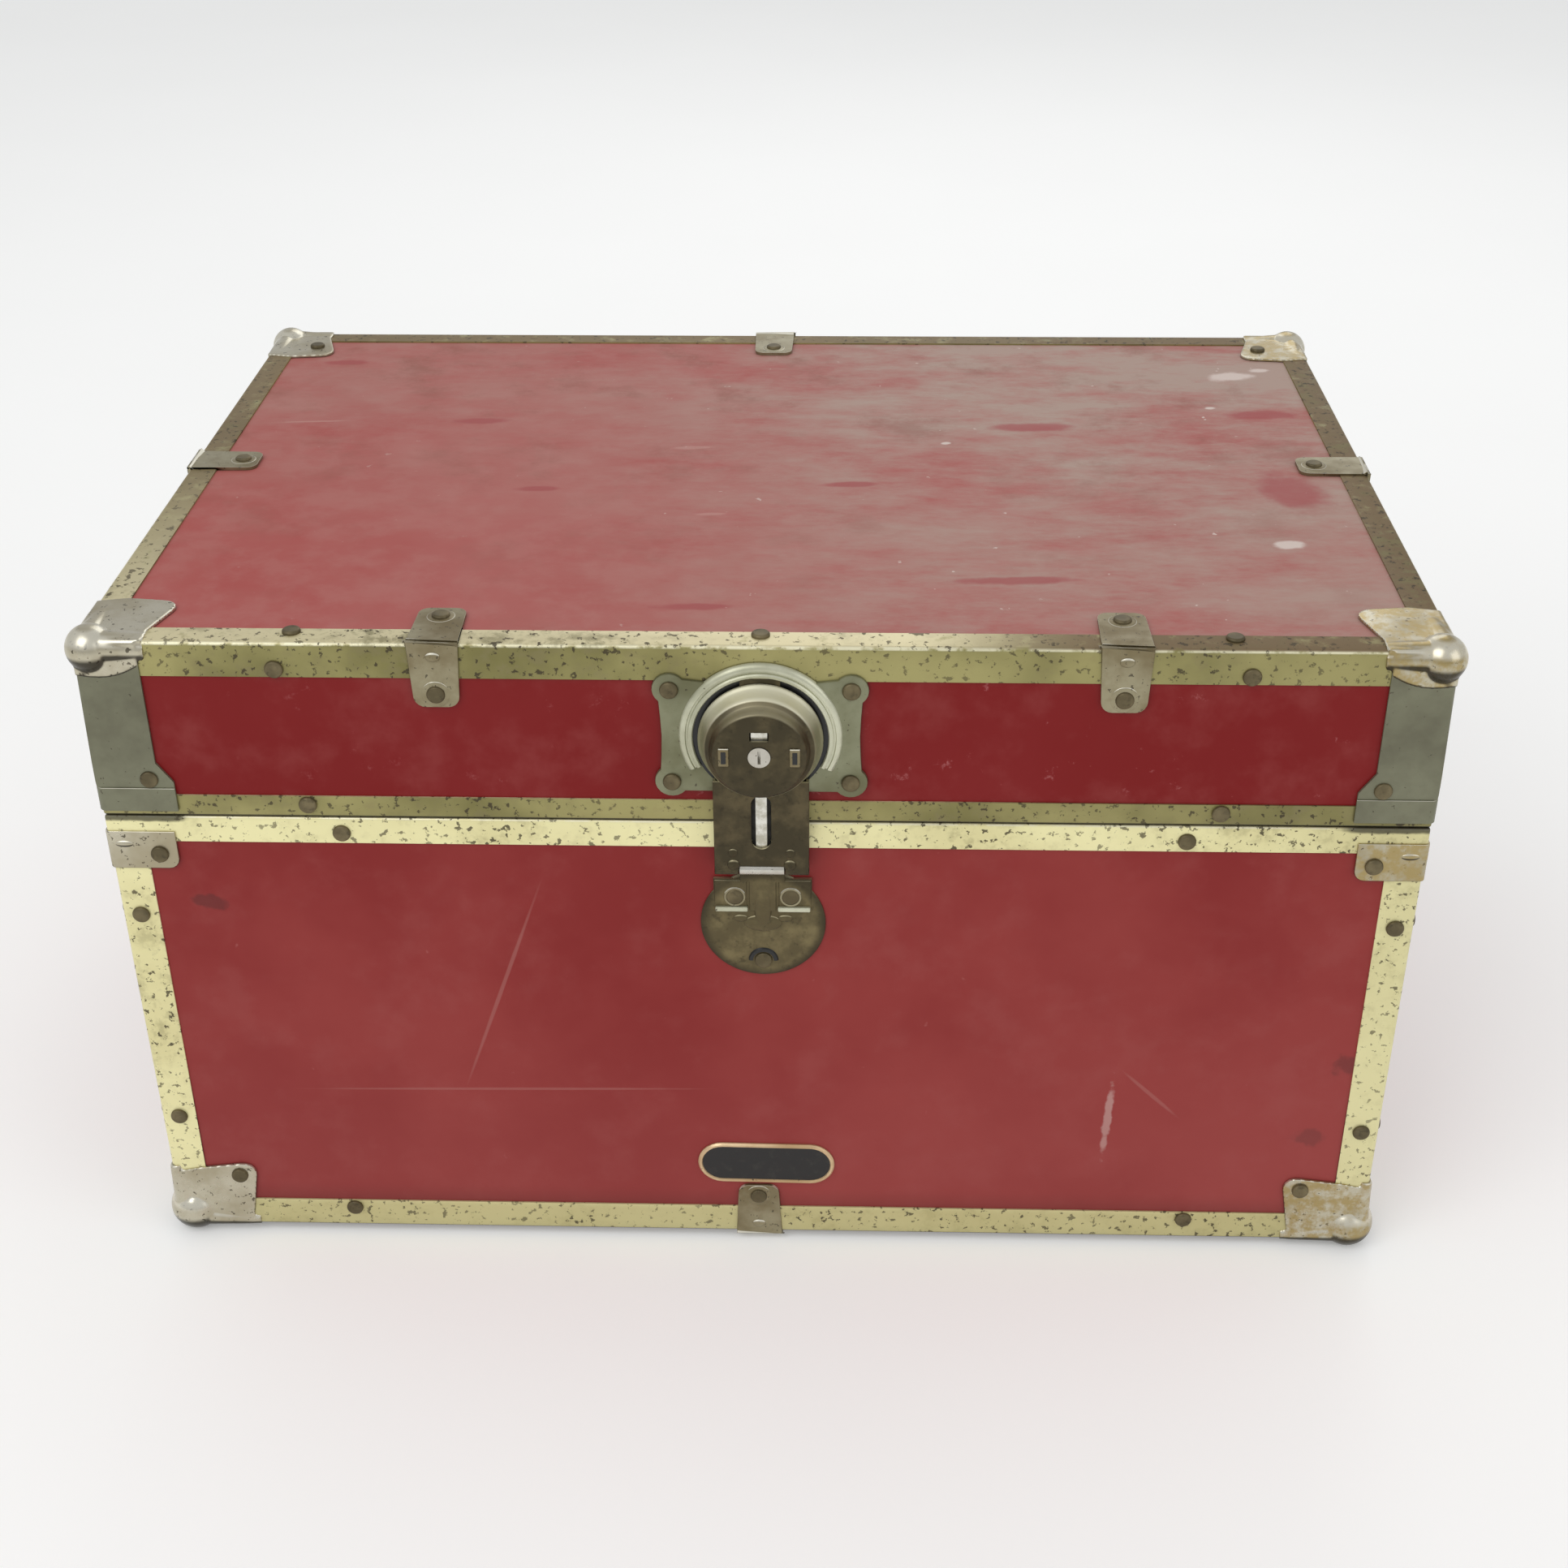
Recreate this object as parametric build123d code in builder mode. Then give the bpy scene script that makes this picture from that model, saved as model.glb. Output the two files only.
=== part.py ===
from build123d import *
import os

# A small storage trunk: a plywood box in red fibre sheet, bound in thin brassy steel, with
# corner caps, a back-hinged lid, a round hasp lock and a drop handle on each end.
# Millimetres. X runs to the right, Y to the back, Z up. The origin is on the floor, under
# the middle of the whole trunk with its lock and its hinges.

# Overall size, from binding to binding
width = 610.0
depth = 414.0
height = 338.0
lid_height = 90.0
foot_drop = 5.0
seam_gap = 0.6

# Wall, from the outside to the inside
gauge = 0.8
covering = 0.8
board = 6.0
lining = 0.4

# Steel bindings along the edges: the width of each leg
bottom_leg = 16.5
bottom_under_leg = 14.0
corner_leg = 17.5
body_top_leg = 13.5
lid_bottom_leg = 11.0
lid_side_leg = 17.0
lid_top_leg = 19.5

# Wooden strips inside the body's rim, which steer the lid as it closes
strip_thickness = 4.0
strip_depth = 30.0
strip_rise = 8.0
strip_clearance = 1.0

# Rivets
head_radius = 4.2
head_rise = 1.7
head_edge = 1.2
shank_radius = 1.6
shank_length = 5.0
shank_play = 0.05

# Corner caps and brackets
cap_gauge = 1.0
post_proud = 0.4
foot_ball_radius = 13.5
foot_ball_inset = 7.5
lid_ball_radius = 11.0
lid_ball_inset = 6.0
bead_radius = 7.6
bead_inset = 4.6
foot_bead_length = 33.5
lid_bead_length = 31.5
leaf_side = 33.0
leaf_tip = 42.0
leaf_round = 8.0
lid_leaf_long_side = 40.0
lid_leaf_short_side = 31.0
lid_leaf_tip = 40.0
post_width = 28.5
collar_drop = 19.0
foot_width = 35.5
foot_flare = 10.0
foot_height = 25.0
foot_fold = 12.0
post_clear = 3.0
bracket_width = 32.0
bracket_height = 20.0
bracket_below_rim = 8.0
bracket_round = 5.0

# Clips over the bindings
clip_width = 23.0
clip_gauge = 1.0
clip_top_leg = 34.5
clip_side_leg = 31.0
clip_round = 5.0
front_clips_x = (-144.5, 161.0)
back_clip_x = -6.5
bottom_clip_x = -4.0
side_clip_back = 3.0

# Rivet rows: how far each lies from the corner, and from the edge of the sheet it holds
lid_top_rivet_run = 89.0
lid_top_rivet_drop = 13.0
lid_rim_rivet_run = 96.0
lid_rim_rivet_rise = 6.5
body_rim_rivet_run = 110.0
body_rim_rivet_drop = 8.0
bottom_rivet_run = 92.0
bottom_rivet_rise = 12.0
corner_rivet_run = 9.0
corner_rivet_rise = 70.5
corner_rivet_drop = 54.7
top_face_rivet_in = 11.0
foot_rivet_run = 35.0
foot_rivet_rise = 33.0
bracket_rivet_run = 23.5
bracket_rivet_drop = 20.0
post_rivet_run = 24.5
post_rivet_rise = 19.5
leaf_rivet_corner = 27.0
clip_rivet_up = 6.5
clip_rivet_out = 8.5

# Lock plate on the lid
hub_below_top = 44.5
hub_gauge = 1.6
hub_half_width = 44.5
hub_half_height = 27.5
hub_rivet_x = 40.5
hub_rivet_z = 23.5
hub_lobe = 7.8
ring_outer = 35.5
ring_inner = 30.5
ring_rise = 2.0
ring_open_below = 17.0
keeper_rise = 26.0
keeper_half_width = 9.0
keeper_gauge = 0.85

# Hasp: a domed head on a slotted strap
lock_clearance = 0.3
head_wall = 1.4
head_flange_radius = 29.2
head_reach = 20.0
head_front_radius = 21.0
front_edge = 0.4
rim_swell = 1.4
rim_drop = 1.6
step_rise = 0.6
step_swell = 1.1
step_neck = 0.3
boss_x = 15.8
boss_rise = 0.8
boss_width = 4.3
boss_height = 9.0
window_up = 10.0
window_width = 8.4
window_height = 4.6
strap_half_width = 21.8
strap_gauge = 1.4
strap_into_head = 1.0
flange_above_knuckle = 3.0
rail_gauge = 1.5
rail_rise = 2.0
slot_below_hub = 41.5
slot_width = 9.0
slot_height = 27.0
hasp_pin_below_hub = 67.8
hasp_knuckle_radius = 3.2
hasp_knuckle_off_wall = 1.2
hasp_pin_radius = 1.5
centre_knuckle_half = 10.4
running = 0.05
side_play = 0.3

# Key plug and sliding catch
plug_radius = 5.0
barrel_wall = 1.8
barrel_past_strap = 1.8
plug_collar = 1.3
plug_proud = 0.6
keyway_width = 1.3
keyway_height = 6.4
keyway_depth = 3.0
crank_offset = 2.0
crank_radius = 1.0
crank_play = 0.25
catch_half_width = 8.0
catch_gauge = 1.2
passage_into_head = 3.0
catch_off_strap = 0.2
catch_end = 3.0
catch_above_window = 3.2
window_flag_drop = 2.8
window_flag_play = 0.6
tongue_rise = 4.0
tongue_short = 0.6
catch_rib_width = 5.0
catch_rib_rise = 0.8
tongue_gauge = 0.75
tongue_half_width = 7.0
tongue_play = 0.15

# Shield plate under the hasp
shield_radius = 29.5
shield_below_pin = 33.8
shield_gauge = 1.6
neck_half_width = 23.0
neck_rise = 25.5
shield_web_drop = 6.0
shield_rivet_x = 13.1
shield_rivet_rise = 15.8
shield_rivet_drop = 20.3

# Nameplate, left bare
plate_width = 69.0
plate_height = 25.0
plate_gauge = 0.8
plate_centre = 45.0
plate_edge = 2.2
plate_edge_rise = 0.4
plate_slope = -0.012

# Back hinges
hinge_to_rim_rivet = 55.0
leaf_width = 64.0
leaf_height = 34.0
leaf_gauge = 1.4
knuckle_radius = 3.5
hinge_pin_radius = 1.6
hinge_pin_head = 2.6
hinge_pin_head_gauge = 1.2
knuckle_off_wall = 0.4
knuckle_notch = 0.7
leaf_rivet_x = 22.0
leaf_rivet_in = 9.0

# End handles
handle_height = 150.0
eye_run = 62.0
eye_length = 14.0
eye_radius = 5.5
rod_radius = 3.0
eye_out = 8.5
eye_plate = 24.0
eye_plate_height = 42.0
eye_plate_gauge = 1.4
eye_rivet_rise = 14.0
bail_half_width = 46.0
bail_drop = 44.0
bail_round = 9.0
grip_radius = 8.0
grip_round = 2.8
bail_past_eye = 1.0
grip_half_length = 33.0

# Places worked out from the sizes above
half_width = width / 2
hinge_x = half_width - body_rim_rivet_run - hinge_to_rim_rivet
half_depth = depth / 2
knuckle_third = leaf_width / 3
hinge_out = knuckle_radius + knuckle_off_wall
lock_reach = head_reach + boss_rise
hinge_reach = hinge_out + knuckle_radius
front = (lock_reach - hinge_reach - depth) / 2
back = front + depth
middle = (front + back) / 2
base = foot_drop
top = base + height
seam = top - lid_height
body_rim = seam - seam_gap / 2
lid_rim = seam + seam_gap / 2
board_in = gauge + covering
lining_in = board_in + board
room_in = lining_in + lining
floor = base + board_in + board
hub_z = top - hub_below_top
hub_face = front - hub_gauge
hasp_pin_z = hub_z - hasp_pin_below_hub
hasp_pin_y = front - hasp_knuckle_off_wall - hasp_knuckle_radius
strap_face = hasp_pin_y - hasp_knuckle_radius
strap_back = strap_face + strap_gauge
shield_z = hasp_pin_z - shield_below_pin
handle_z = base + handle_height

sides = ("front", "back", "left", "right")
half_run = {"front": half_width, "back": half_width, "left": half_depth, "right": half_depth}
hands = (-1, 1)


def block(low, high, mode=Mode.ADD):
    """Add or cut a box between two of its corners."""
    middle_point = tuple((a + b) / 2 for a, b in zip(low, high))
    with Locations(middle_point):
        Box(*(b - a for a, b in zip(low, high)), mode=mode)


def plan(inset, low, high, mode=Mode.ADD):
    """Add or cut the trunk's plan, set in from its outer faces, between two heights."""
    block(
        (-half_width + inset, front + inset, low),
        (half_width - inset, back - inset, high),
        mode,
    )


def rod(radius, start, end, mode=Mode.ADD):
    """Add or cut a round bar between two points."""
    along = Vector(*end) - Vector(*start)
    with BuildSketch(Plane(origin=start, z_dir=along.normalized())) as section:
        Circle(radius)
    extrude(section.sketch, amount=along.length, mode=mode)


def on_wall(side, along, z, proud=0.0):
    """A place on an outer wall, with its own Z pointing out of the trunk."""
    if side == "front":
        return Plane(origin=(along, front - proud, z), z_dir=(0, -1, 0)).location
    if side == "back":
        return Plane(origin=(along, back + proud, z), z_dir=(0, 1, 0)).location
    hand = -1 if side == "left" else 1
    wall = hand * (half_width + proud)
    return Plane(origin=(wall, middle + along, z), z_dir=(hand, 0, 0)).location


def on_lid(x, y, proud=0.0):
    """A place on top of the lid, with its own Z pointing up."""
    return Plane(origin=(x, y, top + proud), z_dir=(0, 0, 1)).location


def rivet_holes(piece, places):
    """Cut a hole for the shank of each rivet that reaches into the piece."""
    extent = piece.part.bounding_box()
    low = extent.min - Vector(1, 1, 1) * shank_length
    high = extent.max + Vector(1, 1, 1) * shank_length
    reached = []
    for place in places:
        spot = place.position
        if low.X <= spot.X <= high.X and low.Y <= spot.Y <= high.Y and low.Z <= spot.Z <= high.Z:
            reached.append(place)
    if reached:
        with Locations(*reached):
            Cylinder(
                shank_radius + shank_play,
                2 * (shank_length + shank_play),
                mode=Mode.SUBTRACT,
            )


def rivets(places):
    """Make a domed rivet at each place."""
    base_centre = (Align.CENTER, Align.CENTER, Align.MIN)
    with BuildPart() as one:
        Cylinder(head_radius, head_rise, align=base_centre)
        fillet(one.edges().group_by(Axis.Z)[-1], head_edge)
        Cylinder(shank_radius, shank_length, align=(Align.CENTER, Align.CENTER, Align.MAX))
    with BuildPart() as group:
        with Locations(*places):
            add(one.part)
    return group


def save(piece, label):
    """Name a piece and write it out."""
    piece.part.label = label
    export_step(piece.part, f"parts/{label}.step")


os.makedirs("parts", exist_ok=True)

# Places of the rivets, on the four walls alike
body_binding_places = []
body_cap_places = []
lid_binding_places = []
lid_cap_places = []
for side in sides:
    run = half_run[side]
    for hand in hands:
        body_binding_places.append(
            on_wall(side, hand * (run - body_rim_rivet_run), body_rim - body_rim_rivet_drop))
        body_binding_places.append(
            on_wall(side, hand * (run - bottom_rivet_run), base + bottom_rivet_rise))
        for rivet_z in (base + corner_rivet_rise, body_rim - corner_rivet_drop):
            body_binding_places.append(
                on_wall(side, hand * (run - corner_rivet_run), rivet_z))
        body_cap_places.append(
            on_wall(side, hand * (run - foot_rivet_run), base + foot_rivet_rise, cap_gauge))
        body_cap_places.append(
            on_wall(
                side, hand * (run - bracket_rivet_run), body_rim - bracket_rivet_drop, cap_gauge))
        lid_binding_places.append(
            on_wall(side, hand * (run - lid_top_rivet_run), top - lid_top_rivet_drop))
        lid_binding_places.append(
            on_wall(side, hand * (run - lid_rim_rivet_run), lid_rim + lid_rim_rivet_rise))
        lid_cap_places.append(
            on_wall(side, hand * (run - post_rivet_run), lid_rim + post_rivet_rise, post_proud))
for x in (-half_width + lid_rim_rivet_run, 0, half_width - lid_rim_rivet_run):
    lid_binding_places.append(on_lid(x, front + top_face_rivet_in))
for hand in hands:
    lid_cap_places.append(
        on_lid(hand * (half_width - leaf_rivet_corner), back - leaf_rivet_corner, cap_gauge))

clip_drop = clip_side_leg - clip_rivet_up
clip_in = clip_top_leg - clip_rivet_out
clip_places = {
    "lid_clip_front_left": ("front", front_clips_x[0]),
    "lid_clip_front_right": ("front", front_clips_x[1]),
    "lid_clip_back": ("back", back_clip_x),
    "lid_clip_left": ("left", side_clip_back),
    "lid_clip_right": ("right", side_clip_back),
}
lid_clip_rivets = []
for side, along in clip_places.values():
    lid_clip_rivets.append(on_wall(side, along, top - clip_drop, clip_gauge))
    if side in ("front", "back"):
        inward = clip_in if side == "front" else depth - clip_in
        lid_clip_rivets.append(on_lid(along, front + inward, clip_gauge))
    else:
        hand = -1 if side == "left" else 1
        lid_clip_rivets.append(on_lid(hand * (half_width - clip_in), middle + along, clip_gauge))
bottom_clip_rivets = [on_wall("front", bottom_clip_x, base + clip_drop, clip_gauge)]

hub_rivets = []
for hand in hands:
    for level in hands:
        hub_rivets.append(
            on_wall("front", hand * hub_rivet_x, hub_z + level * hub_rivet_z, hub_gauge))

shield_rivets = [
    on_wall("front", -shield_rivet_x, shield_z + shield_rivet_rise, shield_gauge - gauge),
    on_wall("front", shield_rivet_x, shield_z + shield_rivet_rise, shield_gauge - gauge),
    on_wall("front", 0, shield_z - shield_rivet_drop, shield_gauge - gauge),
]

hinge_body_rivets = []
hinge_lid_rivets = []
for hand in hands:
    for step in hands:
        x = hand * hinge_x + step * leaf_rivet_x
        hinge_body_rivets.append(
            on_wall("back", x, seam - leaf_height + leaf_rivet_in, leaf_gauge))
        hinge_lid_rivets.append(
            on_wall("back", x, seam + leaf_height - leaf_rivet_in, leaf_gauge))

handle_rivets = []
for side in ("left", "right"):
    for hand in hands:
        for level in hands:
            z = handle_z + level * eye_rivet_rise
            handle_rivets.append(on_wall(side, hand * eye_run, z, eye_plate_gauge - gauge))

body_places = (
    body_binding_places + body_cap_places + bottom_clip_rivets + shield_rivets
    + hinge_body_rivets + handle_rivets
)
lid_places = (
    lid_binding_places + lid_cap_places + lid_clip_rivets + hub_rivets + hinge_lid_rivets
)

# Plywood: the floor carries the front and back boards, and the side boards stand between them
with BuildPart() as body_bottom_board:
    plan(board_in, base + board_in, floor)
save(body_bottom_board, "body_bottom_board")

with BuildPart() as lid_top_board:
    plan(board_in, top - lining_in, top - board_in)
    rivet_holes(lid_top_board, lid_places)
save(lid_top_board, "lid_top_board")

board_levels = {
    "body": (floor, body_rim - gauge, body_places),
    "lid": (lid_rim + gauge, top - lining_in, lid_places),
}
for owner, (low, high, places) in board_levels.items():
    for side, inner, outer in (
        ("front", front + lining_in, front + board_in),
        ("back", back - board_in, back - lining_in),
    ):
        with BuildPart() as long_board:
            block(
                (-half_width + board_in, min(inner, outer), low),
                (half_width - board_in, max(inner, outer), high),
            )
            rivet_holes(long_board, places)
        save(long_board, f"{owner}_{side}_board")
    for side, hand in (("left", -1), ("right", 1)):
        ends = sorted((hand * (half_width - board_in), hand * (half_width - lining_in)))
        with BuildPart() as short_board:
            block((ends[0], front + lining_in, low), (ends[1], back - lining_in, high))
            rivet_holes(short_board, places)
        save(short_board, f"{owner}_{side}_board")

# Red fibre sheet outside and paper inside
with BuildPart() as body_covering:
    plan(gauge, base + gauge, body_rim - gauge)
    plan(board_in, base + board_in, body_rim, Mode.SUBTRACT)
    rivet_holes(body_covering, body_places)
save(body_covering, "body_covering")

with BuildPart() as lid_covering:
    plan(gauge, lid_rim + gauge, top - gauge)
    plan(board_in, lid_rim, top - board_in, Mode.SUBTRACT)
    rivet_holes(lid_covering, lid_places)
save(lid_covering, "lid_covering")

with BuildPart() as body_lining:
    plan(lining_in, floor, body_rim - gauge)
    plan(room_in, floor + lining, body_rim, Mode.SUBTRACT)
save(body_lining, "body_lining")

with BuildPart() as lid_lining:
    plan(lining_in, lid_rim + gauge, top - lining_in)
    plan(room_in, lid_rim, top - room_in, Mode.SUBTRACT)
save(lid_lining, "lid_lining")

# Steel bindings: folded strips round the bottom, the rim, the lid's rim and the lid's top
with BuildPart() as body_bottom_binding:
    plan(0, base, base + bottom_leg)
    plan(gauge, base + gauge, base + bottom_leg, Mode.SUBTRACT)
    plan(bottom_under_leg, base, base + gauge, Mode.SUBTRACT)
    rivet_holes(body_bottom_binding, body_places)
save(body_bottom_binding, "body_bottom_binding")

with BuildPart() as body_rim_binding:
    plan(0, body_rim - body_top_leg, body_rim)
    plan(gauge, body_rim - body_top_leg, body_rim - gauge, Mode.SUBTRACT)
    plan(room_in, body_rim - gauge, body_rim, Mode.SUBTRACT)
    rivet_holes(body_rim_binding, body_places)
save(body_rim_binding, "body_rim_binding")

with BuildPart() as body_corner_bindings:
    plan(0, base + bottom_leg, body_rim - body_top_leg)
    plan(gauge, base + bottom_leg, body_rim - body_top_leg, Mode.SUBTRACT)
    block(
        (-half_width + corner_leg, front, base),
        (half_width - corner_leg, back, top),
        Mode.SUBTRACT,
    )
    block(
        (-half_width, front + corner_leg, base),
        (half_width, back - corner_leg, top),
        Mode.SUBTRACT,
    )
    rivet_holes(body_corner_bindings, body_places)
save(body_corner_bindings, "body_corner_bindings")

with BuildPart() as lid_rim_binding:
    plan(0, lid_rim, lid_rim + lid_bottom_leg)
    plan(gauge, lid_rim + gauge, lid_rim + lid_bottom_leg, Mode.SUBTRACT)
    plan(room_in, lid_rim, lid_rim + gauge, Mode.SUBTRACT)
    rivet_holes(lid_rim_binding, lid_places)
save(lid_rim_binding, "lid_rim_binding")

with BuildPart() as lid_top_binding:
    plan(0, top - lid_side_leg, top)
    plan(gauge, top - lid_side_leg, top - gauge, Mode.SUBTRACT)
    plan(lid_top_leg, top - gauge, top, Mode.SUBTRACT)
    rivet_holes(lid_top_binding, lid_places)
save(lid_top_binding, "lid_top_binding")

# Strips inside the body's rim: thick below it, stepped back above it to clear the lid
strip_low = body_rim - strip_depth
strip_high = body_rim + strip_rise
with BuildPart() as body_rim_strips:
    plan(room_in, strip_low, body_rim)
    plan(room_in + strip_clearance, body_rim, strip_high)
    plan(room_in + strip_thickness, strip_low, strip_high, Mode.SUBTRACT)
    for hand in hands:
        cut_from = half_width - room_in - strip_thickness
        edges = sorted((hand * cut_from, hand * (cut_from - seam_gap)))
        for near, far in (
            (front + room_in, front + room_in + strip_thickness),
            (back - room_in - strip_thickness, back - room_in),
        ):
            block((edges[0], near, strip_low), (edges[1], far, strip_high), Mode.SUBTRACT)
save(body_rim_strips, "body_rim_strips")


def seat_on_body():
    """Cut a piece back to the body's covering and bindings, so that it lies on them."""
    plan(gauge, base + gauge, body_rim, Mode.SUBTRACT)
    for binding in (body_bottom_binding, body_corner_bindings, body_rim_binding):
        add(binding.part, mode=Mode.SUBTRACT)


def seat_on_lid():
    """Cut a piece back to the lid's covering and bindings, so that it lies on them."""
    plan(gauge, lid_rim, top - gauge, Mode.SUBTRACT)
    for binding in (lid_rim_binding, lid_top_binding):
        add(binding.part, mode=Mode.SUBTRACT)


def sheet(origin, run_dir, drop_dir, points, proud, rounded=0, radius=0.0):
    """Add a flat sheet on a face: its outline is given along two inward directions."""
    face = Plane(origin=origin, x_dir=run_dir, z_dir=Vector(*run_dir).cross(Vector(*drop_dir)))
    with BuildSketch(face) as outline:
        with BuildLine():
            Polyline(*points, close=True)
        make_face()
        if rounded:
            far = outline.vertices().sort_by_distance((0, 0))[-rounded:]
            fillet(far, radius)
    extrude(outline.sketch, amount=proud, both=True)


def bead(corner, inward, axis_index, length):
    """Add the rounded fold of a cap along one of the three edges at its corner."""
    start = [corner[i] + inward[i] * bead_inset for i in range(3)]
    end = list(start)
    end[axis_index] = corner[axis_index] + inward[axis_index] * length
    rod(bead_radius, tuple(start), tuple(end))


def corner_inward(x_hand, y_hand, z_hand):
    """Directions from a corner into the trunk."""
    return (-x_hand, -y_hand, -z_hand)


def corner_point(x_hand, y_hand, z):
    """One of the trunk's corners, at a height."""
    return (x_hand * half_width, middle + y_hand * half_depth, z)


def at_corner(original, hands_here, places):
    """Copy a front left corner piece to one of the four corners, and drill it."""
    with BuildPart() as copy:
        shape = original.part
        if hands_here[0] > 0:
            shape = mirror(shape, about=Plane.YZ, mode=Mode.PRIVATE)
        if hands_here[1] > 0:
            shape = mirror(shape, about=Plane.XZ.offset(-middle), mode=Mode.PRIVATE)
        add(shape)
        rivet_holes(copy, places)
    return copy


corners = {
    "front_left": (-1, -1),
    "front_right": (1, -1),
    "back_left": (-1, 1),
    "back_right": (1, 1),
}

# Bottom corner caps: three leaves, rounded folds and a ball, cut flat where it stands
leaf_points = ((0, 0), (leaf_side, 0), (leaf_tip, leaf_tip), (0, leaf_side))
corner = corner_point(-1, -1, base)
inward = corner_inward(-1, -1, -1)
with BuildPart() as foot_cap:
    for run_dir, drop_dir in (
        ((1, 0, 0), (0, 0, 1)),
        ((0, 1, 0), (0, 0, 1)),
        ((1, 0, 0), (0, 1, 0)),
    ):
        sheet(corner, run_dir, drop_dir, leaf_points, cap_gauge, 1, leaf_round)
    for axis_index in range(3):
        bead(corner, inward, axis_index, foot_bead_length)
    with Locations(tuple(corner[i] + inward[i] * foot_ball_inset for i in range(3))):
        Sphere(foot_ball_radius)
    block((-width, -depth, -height), (width, depth, 0), Mode.SUBTRACT)
    seat_on_body()
for corner_name, hands_here in corners.items():
    foot = at_corner(foot_cap, hands_here, body_cap_places)
    save(foot, f"foot_cap_{corner_name}")

# Small brackets round the corners below the body's rim
bracket_top = body_rim - bracket_below_rim
bracket_bottom = bracket_top - bracket_height
with BuildPart() as body_rim_brackets:
    for x_hand, y_hand in corners.values():
        corner = corner_point(x_hand, y_hand, bracket_top)
        inward = corner_inward(x_hand, y_hand, 1)
        outline = (
            (0, 0),
            (bracket_width - bracket_round, 0),
            (bracket_width, bracket_height),
            (0, bracket_height),
        )
        for run_dir in ((inward[0], 0, 0), (0, inward[1], 0)):
            sheet(corner, run_dir, (0, 0, -1), outline, cap_gauge, 1, bracket_round)
        block(
            (corner[0] - cap_gauge, corner[1] - cap_gauge, bracket_bottom),
            (corner[0] + cap_gauge, corner[1] + cap_gauge, bracket_top),
        )
    seat_on_body()
    rivet_holes(body_rim_brackets, body_cap_places)
save(body_rim_brackets, "body_rim_brackets")

# Lid corner caps: a leaf on top, a ball, and a post down the corner to the rim
post_length = top - lid_rim - post_clear
post_outline = (
    (0, 0),
    (post_width, 0),
    (post_width, post_length - foot_height),
    (foot_width, post_length - foot_height + foot_flare),
    (foot_width, post_length),
    (0, post_length),
)
foot_outline = (
    (0, post_length - foot_fold),
    (foot_width, post_length - foot_fold),
    (foot_width, post_length),
    (0, post_length),
)
collar_outline = ((0, 0), (post_width, 0), (post_width, collar_drop), (0, collar_drop))
lid_leaf_points = (
    (0, 0),
    (lid_leaf_short_side, 0),
    (lid_leaf_tip, lid_leaf_tip),
    (0, lid_leaf_long_side),
)
corner = corner_point(-1, -1, top)
inward = corner_inward(-1, -1, 1)
post_end = top - post_length
with BuildPart() as lid_cap:
    sheet(corner, (1, 0, 0), (0, 1, 0), lid_leaf_points, cap_gauge, 1, leaf_round)
    for run_dir in ((1, 0, 0), (0, 1, 0)):
        sheet(corner, run_dir, (0, 0, -1), post_outline, post_proud)
        sheet(corner, run_dir, (0, 0, -1), foot_outline, cap_gauge)
        sheet(corner, run_dir, (0, 0, -1), collar_outline, cap_gauge)
    block(
        (corner[0] - post_proud, corner[1] - post_proud, post_end),
        (corner[0] + post_proud, corner[1] + post_proud, top),
    )
    block(
        (corner[0] - cap_gauge, corner[1] - cap_gauge, post_end),
        (corner[0] + cap_gauge, corner[1] + cap_gauge, post_end + foot_fold),
    )
    for axis_index in range(3):
        bead(corner, inward, axis_index, lid_bead_length)
    with Locations(tuple(corner[i] + inward[i] * lid_ball_inset for i in range(3))):
        Sphere(lid_ball_radius)
    seat_on_lid()
for corner_name, hands_here in corners.items():
    cap = at_corner(lid_cap, hands_here, lid_cap_places)
    save(cap, f"lid_cap_{corner_name}")


def clip(origin, along_edge, inward, down, leg_in, leg_down, places, seat):
    """Make a clip that folds over an edge and lies on both faces."""
    half = clip_width / 2
    with BuildPart() as piece:
        for direction, length in ((inward, leg_in), (down, leg_down)):
            outline = (
                (-half, -clip_gauge),
                (half, -clip_gauge),
                (half, length - clip_round),
                (half - clip_round, length),
                (clip_round - half, length),
                (-half, length - clip_round),
            )
            sheet(origin, along_edge, direction, outline, clip_gauge)
        seat()
        rivet_holes(piece, places)
    return piece


for label, (side, along) in clip_places.items():
    if side in ("front", "back"):
        edge_y = front if side == "front" else back
        inward = (0, 1, 0) if side == "front" else (0, -1, 0)
        origin = (along, edge_y, top)
        along_edge = (1, 0, 0)
    else:
        hand = -1 if side == "left" else 1
        inward = (-hand, 0, 0)
        origin = (hand * half_width, middle + along, top)
        along_edge = (0, 1, 0)
    lid_clip = clip(
        origin, along_edge, inward, (0, 0, -1),
        clip_top_leg, clip_side_leg, lid_clip_rivets, seat_on_lid,
    )
    save(lid_clip, label)

bottom_clip = clip(
    (bottom_clip_x, front, base), (1, 0, 0), (0, 1, 0), (0, 0, 1),
    clip_side_leg, clip_side_leg, bottom_clip_rivets, seat_on_body,
)
save(bottom_clip, "body_clip_front")

# Nameplate: a bare oval plate with a raised edge
plate_plane = Plane(
    origin=(0, front + gauge, base + plate_centre), x_dir=(1, 0, plate_slope), z_dir=(0, -1, 0)
)
with BuildPart() as nameplate:
    with BuildSketch(plate_plane):
        SlotOverall(plate_width, plate_height)
    extrude(amount=plate_gauge)
    with BuildSketch(plate_plane.offset(plate_gauge)):
        SlotOverall(plate_width, plate_height)
        SlotOverall(
            plate_width - 2 * plate_edge, plate_height - 2 * plate_edge, mode=Mode.SUBTRACT)
    extrude(amount=plate_edge_rise)
save(nameplate, "nameplate")

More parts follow.
